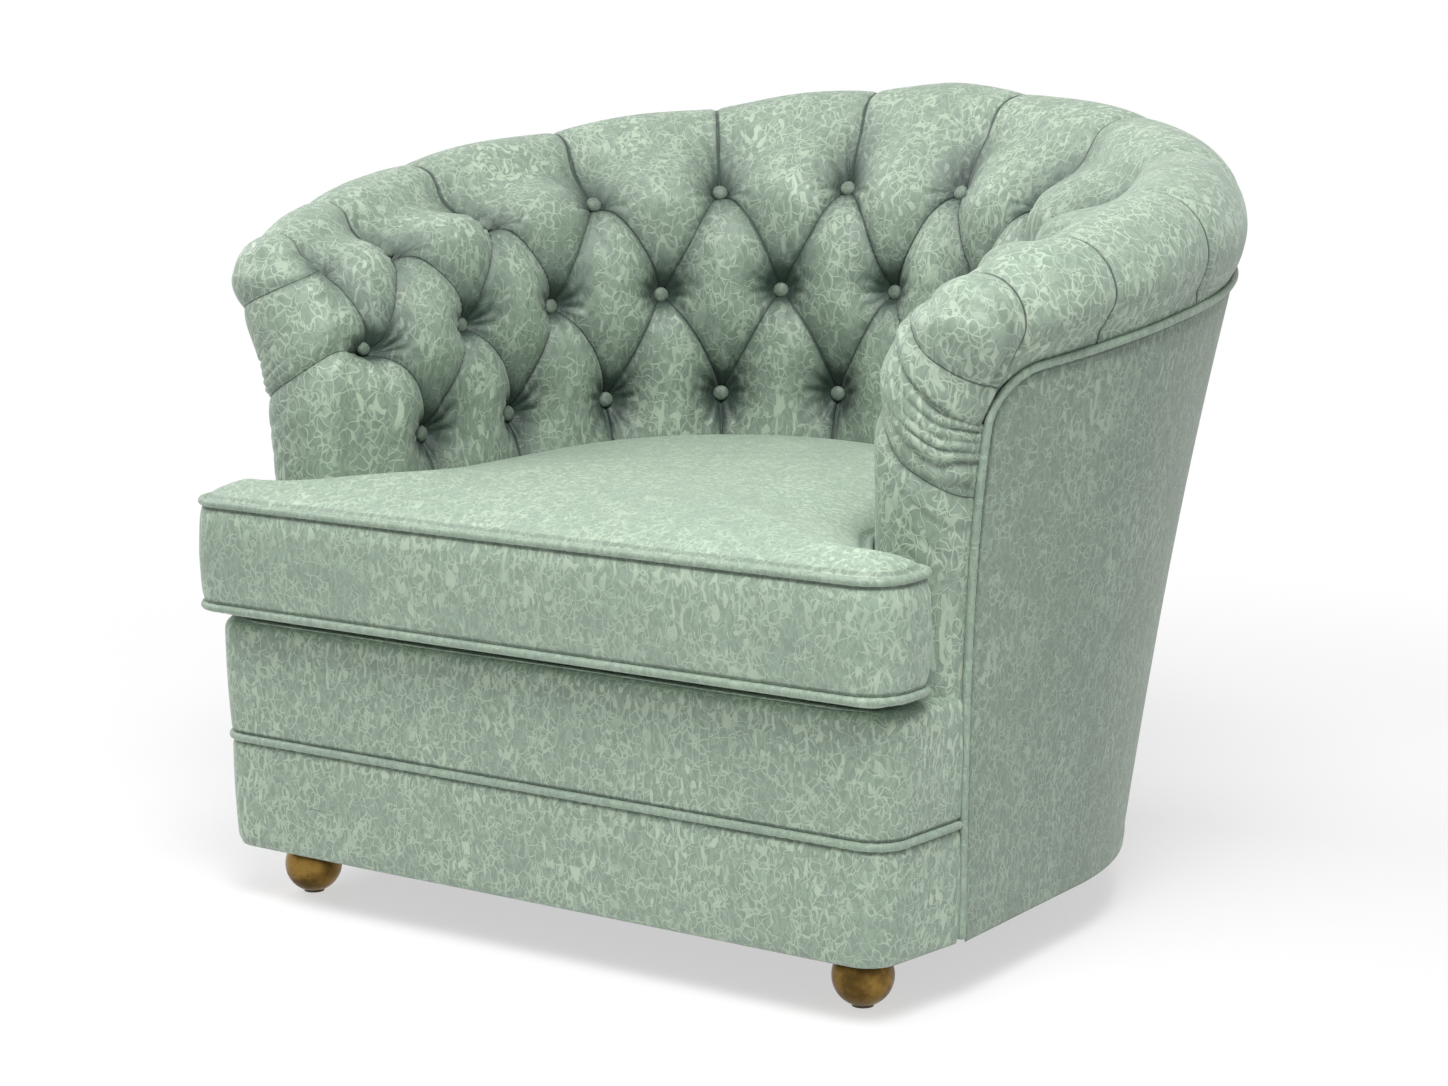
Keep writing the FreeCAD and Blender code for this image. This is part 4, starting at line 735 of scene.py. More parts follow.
class Finish(Tree):
    """One procedural material."""

    def __init__(self, name, **fixed):
        self.material = bpy.data.materials.new(name)
        super().__init__(self.material, "ShaderNodeOutputMaterial")
        self.shader = self.nodes.new("ShaderNodeBsdfPrincipled")
        self.link(self.shader.outputs["BSDF"], self.surface)
        for key, value in fixed.items():
            self.feed(self.shader.inputs[key.replace("_", " ")], value)
        self.place = self.make("ShaderNodeTexCoord", output="Object")

    def vector(self, operation, *values, **named):
        return self.make("ShaderNodeVectorMath", {"operation": operation}, *values, **named)

    def noise(self, place, scale, detail=2.0, rough=0.5, output=0):
        return self.make("ShaderNodeTexNoise", None, Vector=place, Scale=scale, Detail=detail,
                         Roughness=rough, output=output)

    def between(self, value, low, high, first=0.0, last=1.0):
        """Smooth step of a signal from one value to another."""
        return self.make("ShaderNodeMapRange", {"interpolation_type": "SMOOTHSTEP"}, Value=value,
                         From_Min=low, From_Max=high, To_Min=first, To_Max=last)

    def mix(self, share, first, second):
        node = self.nodes.new("ShaderNodeMix")
        node.data_type = "RGBA"
        for index, value in ((0, share), (6, first), (7, second)):
            self.feed(node.inputs[index], value)
        return Signal(self, node.outputs[2])

    def shifted(self, place, amount, by):
        """Place moved by a colour signal centred on grey, times an amount."""
        centred = self.vector("SUBTRACT", by, (0.5, 0.5, 0.5))
        return self.vector("ADD", place, self.vector("SCALE", centred, Scale=amount))

    def stretched(self, place, scale):
        return self.vector("MULTIPLY", place, scale)

    def crease(self, count, where, width):
        """Thin line where a folded count is whole, in the places that have such folds."""
        count, where = (self.make("ShaderNodeAttribute", {"attribute_name": name}, output="Fac")
                        for name in (count, where))
        return self.between(count.join("PINGPONG", 0.5), width * 0.25, width, 1.0, 0.0) * where

    def show(self, color, rough, height, strength, distance):
        self.feed(self.shader.inputs["Base Color"], color)
        self.feed(self.shader.inputs["Roughness"], rough)
        bump = self.make("ShaderNodeBump", None, Strength=strength, Distance=distance,
                         Height=height)
        self.feed(self.shader.inputs["Normal"], bump)
        return self.material


def tinted(colour, share):
    return tuple(c * share for c in colour)


SAGE = (0.262, 0.342, 0.270)
PALE = (0.54, 0.65, 0.505)
# Colour of painted shade in pits, folds, creases and beside welts.
PAINTED_SHADE_GREEN = (0.012, 0.028, 0.021)


def jacquard(name, ground, amount, fine=1.6, figure=PALE, sheen_bands=(), seams=(), with_painted_shade=False,
             tufts=False):
    """Satin cloth with raised outlines of leaves and pale strokes on a darker ground.

    The ground is a share of the sage, which makes lighter and darker copies of one cloth for light
    and shade, and fine makes the pattern smaller. The strokes are thicker in the bands of height
    that are given, a painted satin highlight under top edges. Painted shade darkens the cloth in
    the seams, which are (height, half width, darkness), and where its painted-shade attribute is
    high.
    """
    ground = tinted(SAGE, ground)
    f = Finish(name, Sheen_Weight=0.22, Sheen_Roughness=0.4, Specular_IOR_Level=0.42,
               Sheen_Tint=(0.88, 0.97, 0.92))
    place = f.stretched(f.place, (fine, fine, 0.8 * fine))
    drift = f.noise(place, 52.0, 1.0, 0.5, output=1)
    bent = f.shifted(place, 0.02, drift)
    leaves = f.make("ShaderNodeTexVoronoi", {"feature": "DISTANCE_TO_EDGE"}, Vector=bent,
                    Scale=72.0)
    patchy = f.noise(place, 38.0, 1.0)
    outline = 1.0 - f.between(leaves / f.between(patchy, 0.35, 0.65, 0.045, 0.1), 0.3, 1.0)
    curl = f.noise(bent, 66.0, 0.0)
    tendrils = f.between(abs(curl - 0.5), 0.012, 0.045, 1.0, 0.0)
    upright = f.stretched(f.place, (fine, fine, 0.42 * fine))
    tall = f.noise(f.shifted(upright, 0.01, drift), 120.0, 0.0)
    broad = f.noise(f.place, 11.0, 2.0)
    often = f.between(broad, 0.38, 0.62)
    height_here = f.make("ShaderNodeSeparateXYZ", None, f.place, output=2)
    # The pale strokes are the pattern's own; more and taller ones in these bands under the top
    # edges are a painted satin highlight.
    for low, high in sheen_bands:
        in_sheen_band = (f.between(height_here, low, high - 0.006)
                   * f.between(height_here, high - 0.004, high, 1.0, 0.0))
        often = often.join("MAXIMUM", in_sheen_band)
        tall = tall + in_sheen_band * 0.035
    strokes = f.between(tall, 0.6, 0.67) * often
    lines = (outline * f.between(patchy, 0.3, 0.5, 0.35, 1.0)).join(
        "MAXIMUM", tendrils * f.between(patchy, 0.45, 0.6, 0.2, 0.8))
    raised = (lines * 0.8).join("MAXIMUM", strokes)
    tone = f.between(f.noise(f.stretched(bent, (1.0, 1.0, 0.7)), 150.0, 0.0), 0.35, 0.65)
    thread = f.noise(f.stretched(f.place, (700.0, 700.0, 2200.0)), 1.0, 0.0)
    colour = f.mix(tone * 0.6 + broad * 0.4, tinted(ground, 0.82), tinted(ground, 1.08))
    colour = f.mix(raised * 0.7 * amount, colour, figure)
    colour = f.mix(f.between(thread, 0.35, 0.65) * 0.1, colour, tinted(ground, 0.6))
    height = raised * 0.7 + tone * 0.14 + thread * 0.1
    # Painted shade along the seams: shadow lines beside the welts, or a broad band.
    for level, half_width, darkness in seams:
        seam_shade = f.between(abs(height_here - level), half_width * 0.3, half_width, darkness, 0.0)
        colour = f.mix(seam_shade, colour, PAINTED_SHADE_GREEN)
    # Painted shade from the cloth's attribute, in pits and folds and beside welts.
    if with_painted_shade:
        fold = f.make("ShaderNodeAttribute", {"attribute_name": "fold"}, output="Fac")
        colour = f.mix(fold * 0.95, colour, PAINTED_SHADE_GREEN)
    # Painted shade in the thin crease lines of the tufting, which are dented too.
    if tufts:
        heavy = f.crease("fold_in", "tufted", 0.017)
        thin = f.crease("fold_out", "tufted", 0.013) * 0.8
        turned = f.crease("fold_wrap", "wrapped", 0.009) * 0.8
        crease_shade_and_dent = heavy.join("MAXIMUM", thin).join("MAXIMUM", turned)
        colour = f.mix(crease_shade_and_dent * 0.85, colour, PAINTED_SHADE_GREEN)
        height = height - crease_shade_and_dent * 2.5
    rough = 0.5 - raised * 0.08 * amount + thread * 0.06
    return f.show(colour, rough, height, 0.5, 0.0009)


def plain_weave(name, colour, thread_scale=1.0, rough=0.8):
    """Coarse plain cloth such as burlap, cambric, felt or tape."""
    f = Finish(name)
    across, up = (f.make("ShaderNodeTexWave", {"bands_direction": way}, Vector=f.place,
                         Scale=120.0 * thread_scale, Distortion=1.5, Detail=1.0)
                  for way in ("X", "DIAGONAL"))
    fuzz = f.noise(f.place, 240.0 * thread_scale, 3.0)
    woven = across * 0.35 + up * 0.35 + fuzz * 0.3
    shade = f.mix(woven, tinted(colour, 0.55), colour)
    return f.show(shade, rough - fuzz * 0.1, woven, 0.4, 0.0008)


def timber(name, light, dark, grain=(1.0, 0.12, 0.12), rough=0.6):
    f = Finish(name)
    rings = f.make("ShaderNodeTexWave", {"wave_type": "RINGS"}, Vector=f.stretched(f.place, grain),
                   Scale=60.0, Distortion=6.0, Detail=3.0)
    fibres = f.noise(f.stretched(f.place, (30.0, 260.0, 260.0)), 1.0, 3.0)
    share = rings * 0.6 + fibres * 0.4
    return f.show(f.mix(share, dark, light), rough + fibres * 0.15, share, 0.25, 0.0006)


def metal(name, colour, dull, rough, tarnish=0.5):
    f = Finish(name, Metallic=1.0)
    patina = f.between(f.noise(f.place, 38.0, 4.0, 0.6), 0.38, 0.66)
    scratches = f.noise(f.stretched(f.place, (300.0, 300.0, 1600.0)), 1.0, 2.0)
    shade = f.mix(patina * tarnish, colour, dull)
    shade = f.mix(f.between(scratches, 0.4, 0.7) * 0.25, shade, dull)
    rough = rough + patina * 0.14 + scratches * 0.08
    return f.show(shade, rough, scratches * 0.5 + patina * 0.5, 0.12, 0.0004)


def moulded(name, colour, rough):
    f = Finish(name)
    grain = f.noise(f.place, 420.0, 3.0)
    shade = f.mix(grain, tinted(colour, 0.8), colour)
    return f.show(shade, rough + grain * 0.1, grain, 0.15, 0.0003)


# One sage cloth in copies whose ground shares stand for how light falls on each piece: painted
# light on the cushion, painted shade on the outside cover, the deck and the buttons. The tufted
# cloth also takes painted shade in its pits, folds and crease lines.
TUFTED = jacquard("tufted_cloth", 0.93, 0.95, 1.45, with_painted_shade=True, tufts=True)
# Front cloth: painted satin highlight under the top edges of the border and the band, and painted
# shadow lines above and below the band's welt.
FRONT_CLOTH = jacquard("front_cloth", 0.97, 0.9, 1.75, sheen_bands=((0.195, 0.252), (0.112, 0.147)),
                       seams=((0.1527, 0.0024, 0.6), (0.1433, 0.002, 0.4)))
# Outside cloth, also on the deck: a darker copy for painted shade.
SHADED_SIDE_CLOTH = jacquard("outside_cloth", 0.8, 0.55, 1.9, with_painted_shade=True)
# Cushion cloth: a lighter copy for painted light, with a painted satin highlight on the boxing's
# upper half, painted shadow lines beside both welts and a broad painted shade across its middle.
LIT_SEAT_CLOTH = jacquard("cushion_cloth", 1.13, 0.95, 1.75, sheen_bands=((0.305, 0.360),),
                      seams=((0.3550, 0.0026, 0.6), (0.3645, 0.0022, 0.3),
                             (0.2724, 0.0024, 0.5), (0.3136, 0.048, 0.15)))
PIPING = jacquard("welt_cloth", 1.02, 0.4)
# Button cloth: a much darker copy for painted shade, as the buttons sit in shaded pits.
SHADED_BUTTON_CLOTH = jacquard("shaded_button_cloth", 0.55, 0.5, figure=SAGE)
CAMBRIC = plain_weave("cambric", (0.035, 0.035, 0.04), 3.0)

# Finishes of the CAD nodes that are shown as they are.
FINISHES = (
    (plain_weave("padding", (0.72, 0.7, 0.62), 0.4, 0.95),
     "deck_padding", "front_edge_roll", "front_padding"),
    (plain_weave("burlap", (0.46, 0.35, 0.2), 1.6), "back_burlap", "deck_burlap"),
    (timber("board", (0.42, 0.31, 0.19), (0.3, 0.21, 0.12), (0.3, 0.3, 1.0), 0.8),
     "outside_liner"),
    (timber("hardwood", (0.56, 0.38, 0.2), (0.36, 0.21, 0.1)),
     "back_ribs", "back_seat_rail", "front_corner_blocks", "front_seat_rail", "left_front_post",
     "left_seat_rail", "rear_foot_blocks", "right_front_post", "right_seat_rail", "top_rail"),
    (metal("spring_steel", (0.5, 0.5, 0.5), (0.26, 0.25, 0.24), 0.3),
     "seat_springs", "spring_clips", "corner_block_screws", "foot_studs", "foot_t_nuts",
     "dust_cover_tacks"),
    (metal("antique_brass", (0.27, 0.165, 0.042), (0.06, 0.036, 0.011), 0.25, 0.8),
     "foot_collars", "front_left_ball_foot", "front_right_ball_foot", "rear_left_ball_foot",
     "rear_right_ball_foot"),
    (moulded("nylon", (0.16, 0.13, 0.1), 0.45), "foot_glides"),
    (plain_weave("zip_tape", (0.3, 0.42, 0.36), 4.0), "cushion_zip"),
    (metal("zip_metal", (0.62, 0.6, 0.55), (0.35, 0.33, 0.3), 0.28), "zip_slider"),
)
for finish, *nodes in FINISHES:
    for held in [o for o in bpy.data.objects if o.get("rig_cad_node") in nodes]:
        held.data.materials.clear()
        held.data.materials.append(finish)


# Tufted back, arms and arm fronts
steps, wall, wall_cloth = tufted_wall()
upholstery = bmesh.new()
lay(upholstery, wall, wall_cloth)
lay(upholstery, wall_back(steps, wall))
for side, column in ((-1, 0), (1, -1)):
    border_cloth = {name: values[column] for name, values in wall_cloth.items()}
    lay(upholstery, *arm_front(side, wall[column], border_cloth))
merge(upholstery, 0.00005)
close_up(upholstery)
tufted = finish_mesh(upholstery, "tufted_upholstery", TUFTED, "chair")
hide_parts("inside_back", "left_inside_arm", "right_inside_arm", "left_arm_front",
            "right_arm_front")


# Covered buttons
BUTTON_SUNK = 6.0
BUTTON_RIM = 7.4


def button_steps(row):
    if row == 2:
        return [float(n) for n in range(-5, 6)]
    steps = [n + 0.5 for n in range(-5, 5)]
    return [-LAST_BUTTON_STEP] + steps + [LAST_BUTTON_STEP] if row == 1 else steps


def button_profile():
    """Half section of a covered button, from the middle of its dome to under its rim."""
    turns = np.linspace(0, math.pi / 2, 9)
    dome = [(7.3 * math.sin(a), 1.4 + 3.8 * math.cos(a)) for a in turns]
    return dome + [(BUTTON_RIM, 0.6), (6.9, -0.8), (5.5, -2.0), (0.0, -2.2)]


def covered_button(bm, point, axis, turn):
    """Spins the profile of a button about its axis, with small gathers at its rim."""
    first = [bm.verts.new((x * MM, 0, z * MM)) for x, z in button_profile()]
    edges = [bm.edges.new(pair) for pair in zip(first, first[1:])]
    bmesh.ops.spin(bm, geom=first + edges, cent=(0, 0, 0), axis=(0, 0, 1), angle=2 * math.pi,
                   steps=28, use_merge=True, dvec=(0, 0, 0))
    rotation = Vector((0, 0, 1)).rotation_difference(Vector(axis)).to_matrix()
    for vertex in [v for v in bm.verts if not v.tag]:
        around = math.atan2(vertex.co.y, vertex.co.x)
        reach = math.hypot(vertex.co.x, vertex.co.y) / (BUTTON_RIM * MM)
        vertex.co.z += 0.35 * MM * reach ** 4 * math.sin(14 * around + turn)
        vertex.co = rotation @ vertex.co + Vector(point) * MM
        vertex.tag = True


for row, node in ((1, "top_row_buttons"), (2, "middle_row_buttons"), (3, "bottom_row_buttons")):
    bm = bmesh.new()
    for step in np.array(button_steps(row)):
        r, z, _ = button_spot(row, step)
        axis = -level_outward(step) + np.array([0, 0, TILTS[row]])
        axis /= np.linalg.norm(axis)
        covered_button(bm, place(step, r, z) - axis * BUTTON_SUNK, axis, 2.0 * float(step))
    merge(bm)
    buttons = finish_mesh(bm, "covered_" + node, SHADED_BUTTON_CLOTH, "chair")
    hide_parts(node)


# Outside cover and its welt
def outside_cover():
    ends = COVER_STEP - np.array([7.0, 5.0, 3.4, 2.0, 1.0]) / BUTTON_PITCH
    columns = np.sort(np.concatenate([np.linspace(-COVER_STEP, COVER_STEP, 291), ends, -ends]))
    shares = np.concatenate([np.linspace(0, 0.03, 8), np.linspace(0.03, 0.975, 70)[1:],
                             np.linspace(0.975, 1, 10)[1:]])
    top = bend_height(columns, COVER_STEP)[:, None] - 2.0
    columns = columns[:, None]
    z = COVER_FOOT + (top - COVER_FOOT) * shares[None, :]
    hem = 0.9 * ease((11.0 - (z - COVER_FOOT)) / 2.0) - 0.5 * bell(z - COVER_FOOT - 11.5, 1.4)
    tuck = -1.8 * bell(top - z, 7.0)
    slack = 0.9 * uneven(columns * 100.0, z, 85.0)
    from_seam = (COVER_STEP - np.abs(columns)) * BUTTON_PITCH
    # Painted shadow under the welt and beside the seams.
    shadow = 0.55 * np.maximum(bell(top - z - 1.0, 3.0), bell(from_seam - 1.0, 2.4))
    bm = bmesh.new()
    lay(bm, place(columns, shell_radius(columns, z) + hem + tuck + slack, z), {"fold": shadow})
    solid_sheet(bm, CLOTH_THICKNESS)
    return finish_mesh(bm, "outside_cloth", SHADED_SIDE_CLOTH, "chair")


def outside_welt():
    """Line of the welt up one seam, round under the roll and down the other seam."""
    foot, low = COVER_FOOT + 2, float(welt_height(SEAM_STEP)) - WELT_BEND
    line = [(SEAM_STEP, foot + (low - foot) * i / 60.0) for i in range(61)]
    for i in range(1, 18):
        step = SEAM_STEP - BEND_STEPS * (1 - math.cos(math.radians(5.0 * i)))
        line.append((step, float(bend_height(step, SEAM_STEP))))
    line += [(s, float(welt_height(s))) for s in np.linspace(SEAM_STEP - BEND_STEPS, 0, 150)]
    right = np.array([place(s, shell_radius(s, z) + 0.5, z) for s, z in line])
    left = right[:-1] * [-1, 1, 1]
    return np.vstack([right, left[::-1]])


outer_cloth = outside_cover()
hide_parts("outside_cover")
welt("outside_piping", "outside_welt", outside_welt(), 0.16)


# Front of the base
TURN_IN = 12.0


def base_line(z, inset):
    """Line round the front of the base at a height, from the left seam to the right."""
    rise = (z - COVER_FOOT) / (DECK_HEIGHT - COVER_FOOT)
    front = 338.0 + 14.0 * rise - inset
    back = float(shell_radius(SEAM_STEP, z)) - inset
    corner = max(30.0 - inset, 4.0)
    y = FRONT_Y + inset
    return rounded([(-back, NOSE_Y, 0), (-front, y, corner), (front, y, corner), (back, NOSE_Y, 0)],
                   z, 12, 40, closed=False)


def base_panel(name, node, bottom, top, turned_in):
    """One strip of cloth round the base; turned_in rolls its top edge back over the deck."""
    heights = list(np.linspace(bottom, top - (TURN_IN if turned_in else 0.0), 36))
    insets = []
    for z in heights:
        at_edges = 2.4 * float(bell(z - bottom, 4.0))
        if not turned_in:
            at_edges += 2.4 * float(bell(top - z, 4.0))
        insets.append(at_edges - 1.2 * math.sin(math.pi * (z - bottom) / (top - bottom)))
    if turned_in:
        last = insets[-1]
        for a in np.linspace(10, 90, 9):
            heights.append(top - TURN_IN + TURN_IN * math.sin(math.radians(a)))
            insets.append(last + TURN_IN * (1 - math.cos(math.radians(a))))
        heights += [top - 0.2, top - 0.6]
        insets += [last + 20.0, last + 30.0]
    lines = np.array([base_line(z, inset) for z, inset in zip(heights, insets)])
    lines[:, :, 1] += 0.5 * uneven(lines[:, :, 0], lines[:, :, 2], 60.0)
    bm = bmesh.new()
    lay(bm, lines)
    solid_sheet(bm, CLOTH_THICKNESS)
    panel = finish_mesh(bm, name, FRONT_CLOTH, "chair")
    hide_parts(node)
    return panel


border = base_panel("front_border", "front_border_cover", BAND_TOP + 2.0, DECK_HEIGHT, True)
band = base_panel("base_band", "base_band_cover", COVER_FOOT, BAND_TOP - 2.0, False)
welt("base_band_piping", "base_band_welt", base_line(BAND_TOP, 0.6), 0.14)


# Seat cushion
CUSHION_FOOT = 254.6
SEAM_LOW = 268.6
SEAM_HIGH = 358.6
CUSHION_Y = -65.5
CUSHION_RADIUS = 245.0
CUSHION_FRONT = -388.5
CUSHION_CROWN = 42.0
CUSHION_GAP = 4.0
SEAM_INSET = 6.0
ABOVE_DECK = 0.2
VOXEL = 5.5
# Share of the crown before the cloth is filled, and how far the filling may press it out.
START_SHARE = 0.84
SIDE_SWELL = 4.5
TOP_SWELL = 12.0
FILLING_FRAMES = 20
FILLING = {
    "quality": 5, "mass": 0.3, "tension_stiffness": 22.0, "compression_stiffness": 22.0,
    "shear_stiffness": 12.0, "bending_stiffness": 0.6, "shrink_min": -0.035,
    "use_pressure": True, "uniform_pressure_force": 4.0, "vertex_group_mass": "seams",
}


def cushion_line(z, inset, arc_points=14, side_points=24):
    """T-shaped outline of the cushion, which goes round the arm fronts."""
    slope = math.hypot(1.0, ARM_LINE_SLOPE)
    line = ARM_LINE - (CUSHION_GAP + inset) * slope
    wide, narrow, front = 362.0 - inset, CUSHION_RADIUS - inset, CUSHION_FRONT + inset
    ear = NOSE_Y - NOSE_DEPTH - CUSHION_GAP - inset
    half = [(wide, front, max(38.0 - inset, 4.0)), (wide, ear, max(28.0 - inset, 4.0)),
            (line - ARM_LINE_SLOPE * (ear - FRONT_Y), ear, 29.0 + inset),
            (narrow, FRONT_Y + (line - narrow) / ARM_LINE_SLOPE, 60.0 + inset),
            (narrow, CUSHION_Y + narrow, narrow - 1.0)]
    return rounded(half + [(-x, y, r) for x, y, r in half[::-1]], z, arc_points, side_points)


def from_edge(x, y, line):
    """Distance of points from a closed outline, and their nearest places on it."""
    start, end = line[:, :2], np.roll(line[:, :2], -1, 0)
    run = end - start
    length = np.maximum((run ** 2).sum(1), 1e-9)
    best, nearest = np.full(len(x), 1e9), np.zeros((len(x), 2))
    for a, b, n in zip(start, run, length):
        t = np.clip(((x - a[0]) * b[0] + (y - a[1]) * b[1]) / n, 0, 1)
        spot = np.stack([a[0] + t * b[0], a[1] + t * b[1]], axis=1)
        away = np.hypot(x - spot[:, 0], y - spot[:, 1])
        closer = away < best
        best = np.where(closer, away, best)
        nearest = np.where(closer[:, None], spot, nearest)
    return best, nearest


def applied(piece, kind, **settings):
    """Adds a modifier with these settings and puts its result into the mesh."""
    modifier = piece.modifiers.new(kind.lower(), kind)
    for key, value in settings.items():
        setattr(modifier, key, value)
    baked_in(piece)


def baked_in(piece):
    """Puts the result of the piece's modifiers into its mesh."""
    graph = bpy.context.evaluated_depsgraph_get()
    result = bpy.data.meshes.new_from_object(piece.evaluated_get(graph))
    piece.modifiers.clear()
    old = piece.data
    piece.data = result
    bpy.data.meshes.remove(old)


def cushion_block():
    """Closed block in the cushion's outline, a little slacker than the filled cushion."""
    levels = [(CUSHION_FOOT + 2.0, SEAM_INSET + 22.0), (SEAM_LOW, SEAM_INSET),
              (SEAM_LOW + 12.0, 2.6), (SEAM_LOW + 45.0, 1.0), (SEAM_HIGH - 12.0, 2.6),
              (SEAM_HIGH, SEAM_INSET), (SEAM_HIGH + 7.0, SEAM_INSET + 16.0)]
    bm = bmesh.new()
    rings = np.array([cushion_line(z, inset, 8, 10) for z, inset in levels])
    lay(bm, np.concatenate([rings, rings[:, :1]], axis=1))
    merge(bm)
    close_up(bm)
    return finish_mesh(bm, "seat_cushion", LIT_SEAT_CLOTH, "cushion")


def crown_height(inside):
    """Height of the filled top above its seam at a distance from the edge."""
    rise = 1 - np.maximum(1 - inside / 190.0, 0.0) ** 2.6
    return CUSHION_CROWN * (0.45 * rise + 0.55 * np.sqrt(np.maximum(rise, 0)))


def corners_of(mesh):
    """Places of a mesh's corners, in millimetres."""
    co = np.empty(len(mesh.vertices) * 3)
    mesh.vertices.foreach_get("co", co)
    return co.reshape(-1, 3) / MM


def filled_out(cushion, held):
    """Lets the stuffing press the cloth out between its two held seams, by a few millimetres."""
    before = corners_of(cushion.data)
    group = cushion.vertex_groups.new(name="seams")
    group.add(np.flatnonzero(held).tolist(), 1.0, "REPLACE")
    cloth = cushion.modifiers.new("filling", "CLOTH")
    for key, value in FILLING.items():
        setattr(cloth.settings, key, value)
    cloth.settings.effector_weights.gravity = 0.0
    cloth.collision_settings.use_collision = False
    cloth.collision_settings.use_self_collision = False
    cloth.point_cache.frame_start, cloth.point_cache.frame_end = 1, FILLING_FRAMES
    for moment in range(1, FILLING_FRAMES + 1):
        bpy.context.scene.frame_set(moment)
    baked_in(cushion)
    bpy.context.scene.frame_set(1)
    cushion.vertex_groups.clear()
    moved = corners_of(cushion.data) - before
    sideways = np.hypot(moved[:, 0], moved[:, 1])
    moved[:, :2] *= np.minimum(1.0, SIDE_SWELL / np.maximum(sideways, 1e-6))[:, None]
    moved[:, 2] = np.clip(moved[:, 2], -2.0, TOP_SWELL)
    after = before + moved
    after[:, 2] = np.maximum(after[:, 2], CUSHION_FOOT + ABOVE_DECK)
    cushion.data.vertices.foreach_set("co", (after * MM).ravel())


def seat_cushion():
    """Cushion with its crown, its swollen boxing and the pull of its seams."""
    cushion = cushion_block()
    applied(cushion, "REMESH", mode="VOXEL", voxel_size=VOXEL * MM)
    co = corners_of(cushion.data)
    inside, nearest = from_edge(co[:, 0], co[:, 1], cushion_line(0.0, SEAM_INSET, 10, 12))
    held = np.zeros(len(co), bool)
    for seam in (SEAM_LOW, SEAM_HIGH):
        on_seam = (np.abs(co[:, 2] - seam) < 3.0) & (inside < 4.0)
        co[on_seam, :2] = nearest[on_seam]
        co[on_seam, 2] = seam
        held |= on_seam
    top = ~held & (co[:, 2] > SEAM_HIGH + 0.5)
    co[top, 2] = SEAM_HIGH + START_SHARE * crown_height(inside[top])
    under = ~held & (co[:, 2] < SEAM_LOW - 0.5)
    drop = 14.0 * (1 - np.exp(-inside[under] / 14.0))
    co[under, 2] = SEAM_LOW - np.minimum(drop, SEAM_LOW - CUSHION_FOOT - ABOVE_DECK)
    cushion.data.vertices.foreach_set("co", (co * MM).ravel())
    cushion.data.update()
    filled_out(cushion, held)
    applied(cushion, "SUBSURF", levels=1, render_levels=1)
    smooth(cushion)
    return cushion


cushion = seat_cushion()
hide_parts("cushion_core", "cushion_top_panel", "cushion_bottom_panel", "cushion_boxing")
for edge, z in (("top", SEAM_HIGH + 1.0), ("bottom", SEAM_LOW - 1.0)):
    welt("cushion_%s_piping" % edge, "cushion_%s_welt" % edge, cushion_line(z, SEAM_INSET - 0.8),
         0.14, body="cushion", closed=True)


# Deck under the cushion and dust cover under the frame
def spread_cloth(name, halves, z, sag, material):
    """Flat cloth from (y, half width) stations, hollowed a little between its edges."""
    halves = np.array(halves)
    across = np.linspace(-1, 1, 41)
    x = halves[:, 1:2] * across[None, :]
    y = halves[:, 0:1] * np.ones_like(x)
    run = (y - halves[0, 0]) / (halves[-1, 0] - halves[0, 0])
    drop = sag * (1 - across[None, :] ** 2) * np.sqrt(np.clip(4 * run * (1 - run), 0, 1))
    heights = z - drop + 0.4 * uneven(x, y, 70.0) * (1 - across[None, :] ** 4)
    bm = bmesh.new()
    lay(bm, np.stack([x, y, heights], axis=2))
    solid_sheet(bm, THIN_CLOTH)
    merge(bm, 0.000005)
    return finish_mesh(bm, name, material, "chair")


def round_back(radius, count):
    """(y, half width) stations round a half circle about the middle of the barrel."""
    turns = np.linspace(0, math.radians(88), count)
    return [(BARREL_Y + radius * math.sin(a), radius * math.cos(a)) for a in turns]


deck_front = [(-358.0, 300.0), (-354.0, 325.0), (-345.0, 334.0), (-325.0, 337.0), (-259.0, 337.0),
              (NOSE_Y + 2.0, CREST_RADIUS)]
deck = spread_cloth("deck_cloth", deck_front + round_back(CREST_RADIUS, 30), 253.9, 1.2,
                    SHADED_SIDE_CLOTH)
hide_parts("deck_cover")
under_front = [(-344.5 + 28.5 * i, 328.0 + 1.1 * i) for i in range(10)]
under_cloth = spread_cloth("underside_cloth", under_front + round_back(339.0, 34), 53.6, 0.5,
                           CAMBRIC)
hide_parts("dust_cover")


# Floor, light and camera, in metres
WHITE = (1.0, 1.0, 1.0)


def ray_of(tree, first, *others):
    """One where a ray is of any of these kinds, such as "Camera"."""
    seen = tree.make("ShaderNodeLightPath", output="Is %s Ray" % first)
    for kind in others:
        seen = seen.join("MAXIMUM", tree.make("ShaderNodeLightPath", output="Is %s Ray" % kind))
    return seen


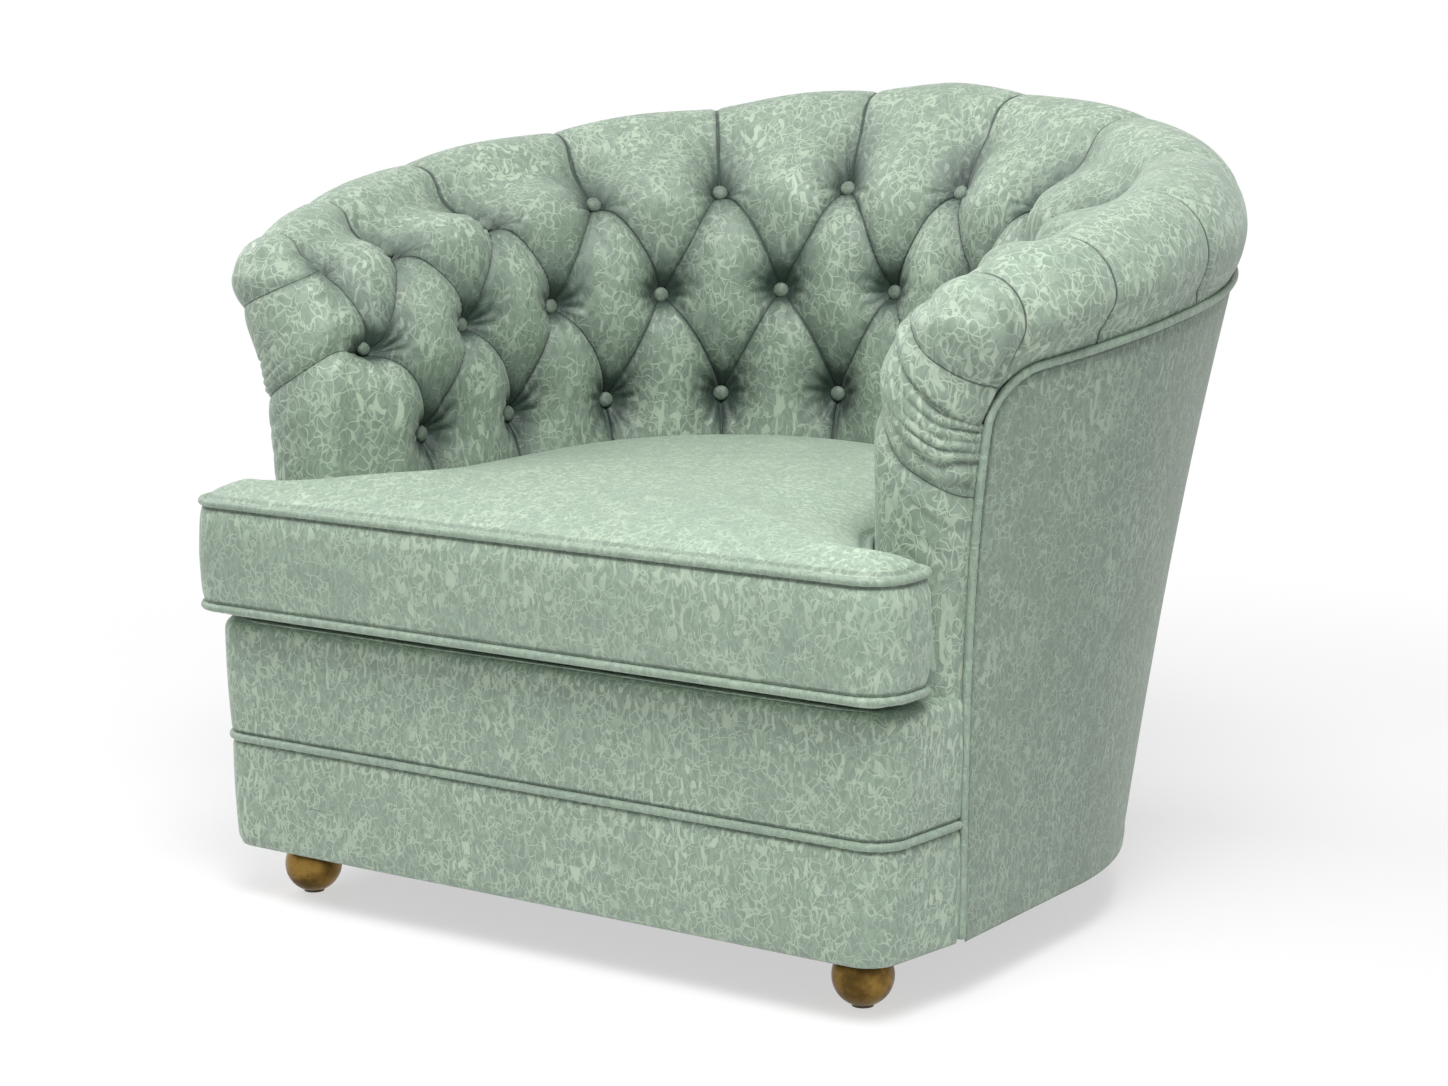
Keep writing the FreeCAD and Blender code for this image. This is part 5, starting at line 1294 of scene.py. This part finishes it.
def backdrop():
    """White floor that keeps a soft shadow."""
    f = Finish("floor", Roughness=0.9, Base_Color=(0.93, 0.93, 0.93))
    away = f.vector("LENGTH", f.place, output=1)
    share = ray_of(f, "Camera", "Glossy") * f.between(away, 0.7, 1.7, 0.58, 1.0)
    glow = f.make("ShaderNodeEmission", None, Color=WHITE)
    shown = f.make("ShaderNodeMixShader", None, share, Signal(f, f.shader.outputs[0]), glow)
    f.link(shown.socket, f.surface)
    bm = bmesh.new()
    bmesh.ops.create_grid(bm, x_segments=8, y_segments=8, size=14.0)
    from_bmesh(bm, "floor", f.material)


def surround(strength):
    """World that shows white to the camera and lights the object plainly."""
    world = bpy.data.worlds.new("surround")
    bpy.context.scene.world = world
    tree = Tree(world, "ShaderNodeOutputWorld")
    lit, shown = (tree.make("ShaderNodeBackground", None, WHITE, level)
                  for level in (strength, 1.0))
    seen = ray_of(tree, "Camera", "Glossy", "Transmission")
    tree.link(tree.make("ShaderNodeMixShader", None, seen, lit, shown).socket, tree.surface)


def aimed(name, data, location, ahead):
    """Lamp or camera at a place, looking in a direction."""
    item = linked(name, data)
    item.location = location
    item.rotation_mode = "QUATERNION"
    item.rotation_quaternion = ahead.to_track_quat("-Z", "Y")
    return item


def lamp(name, location, target, size, energy):
    data = bpy.data.lights.new(name, "AREA")
    data.shape = "SQUARE"
    data.size = size
    data.energy = energy
    aimed(name, data, location, Vector(target) - Vector(location))


def camera(location, azimuth, elevation, lens):
    """Camera at the photograph's angle."""
    data = bpy.data.cameras.new("camera")
    data.sensor_width = 36.0
    data.lens = lens
    data.clip_start, data.clip_end = 0.05, 60.0
    azimuth, elevation = math.radians(azimuth), math.radians(elevation)
    ahead = Vector((-math.sin(azimuth) * math.cos(elevation),
                    math.cos(azimuth) * math.cos(elevation), -math.sin(elevation)))
    bpy.context.scene.camera = aimed("camera", data, location, ahead)


backdrop()
surround(0.26)
lamp("right", (1.2, -1.9, 3.1), (0.0, -0.05, 0.4), 1.3, 58.0)
lamp("top", (0.72, -0.75, 1.9), (0.2, -0.15, 0.4), 1.0, 23.0)
lamp("left", (-2.6, -0.6, 2.2), (0.0, -0.05, 0.4), 1.3, 49.0)
camera((1.5287, -2.3231, 0.7847), azimuth=34.2, elevation=9.85, lens=76.9)
bpy.context.scene.view_settings.view_transform = "Standard"
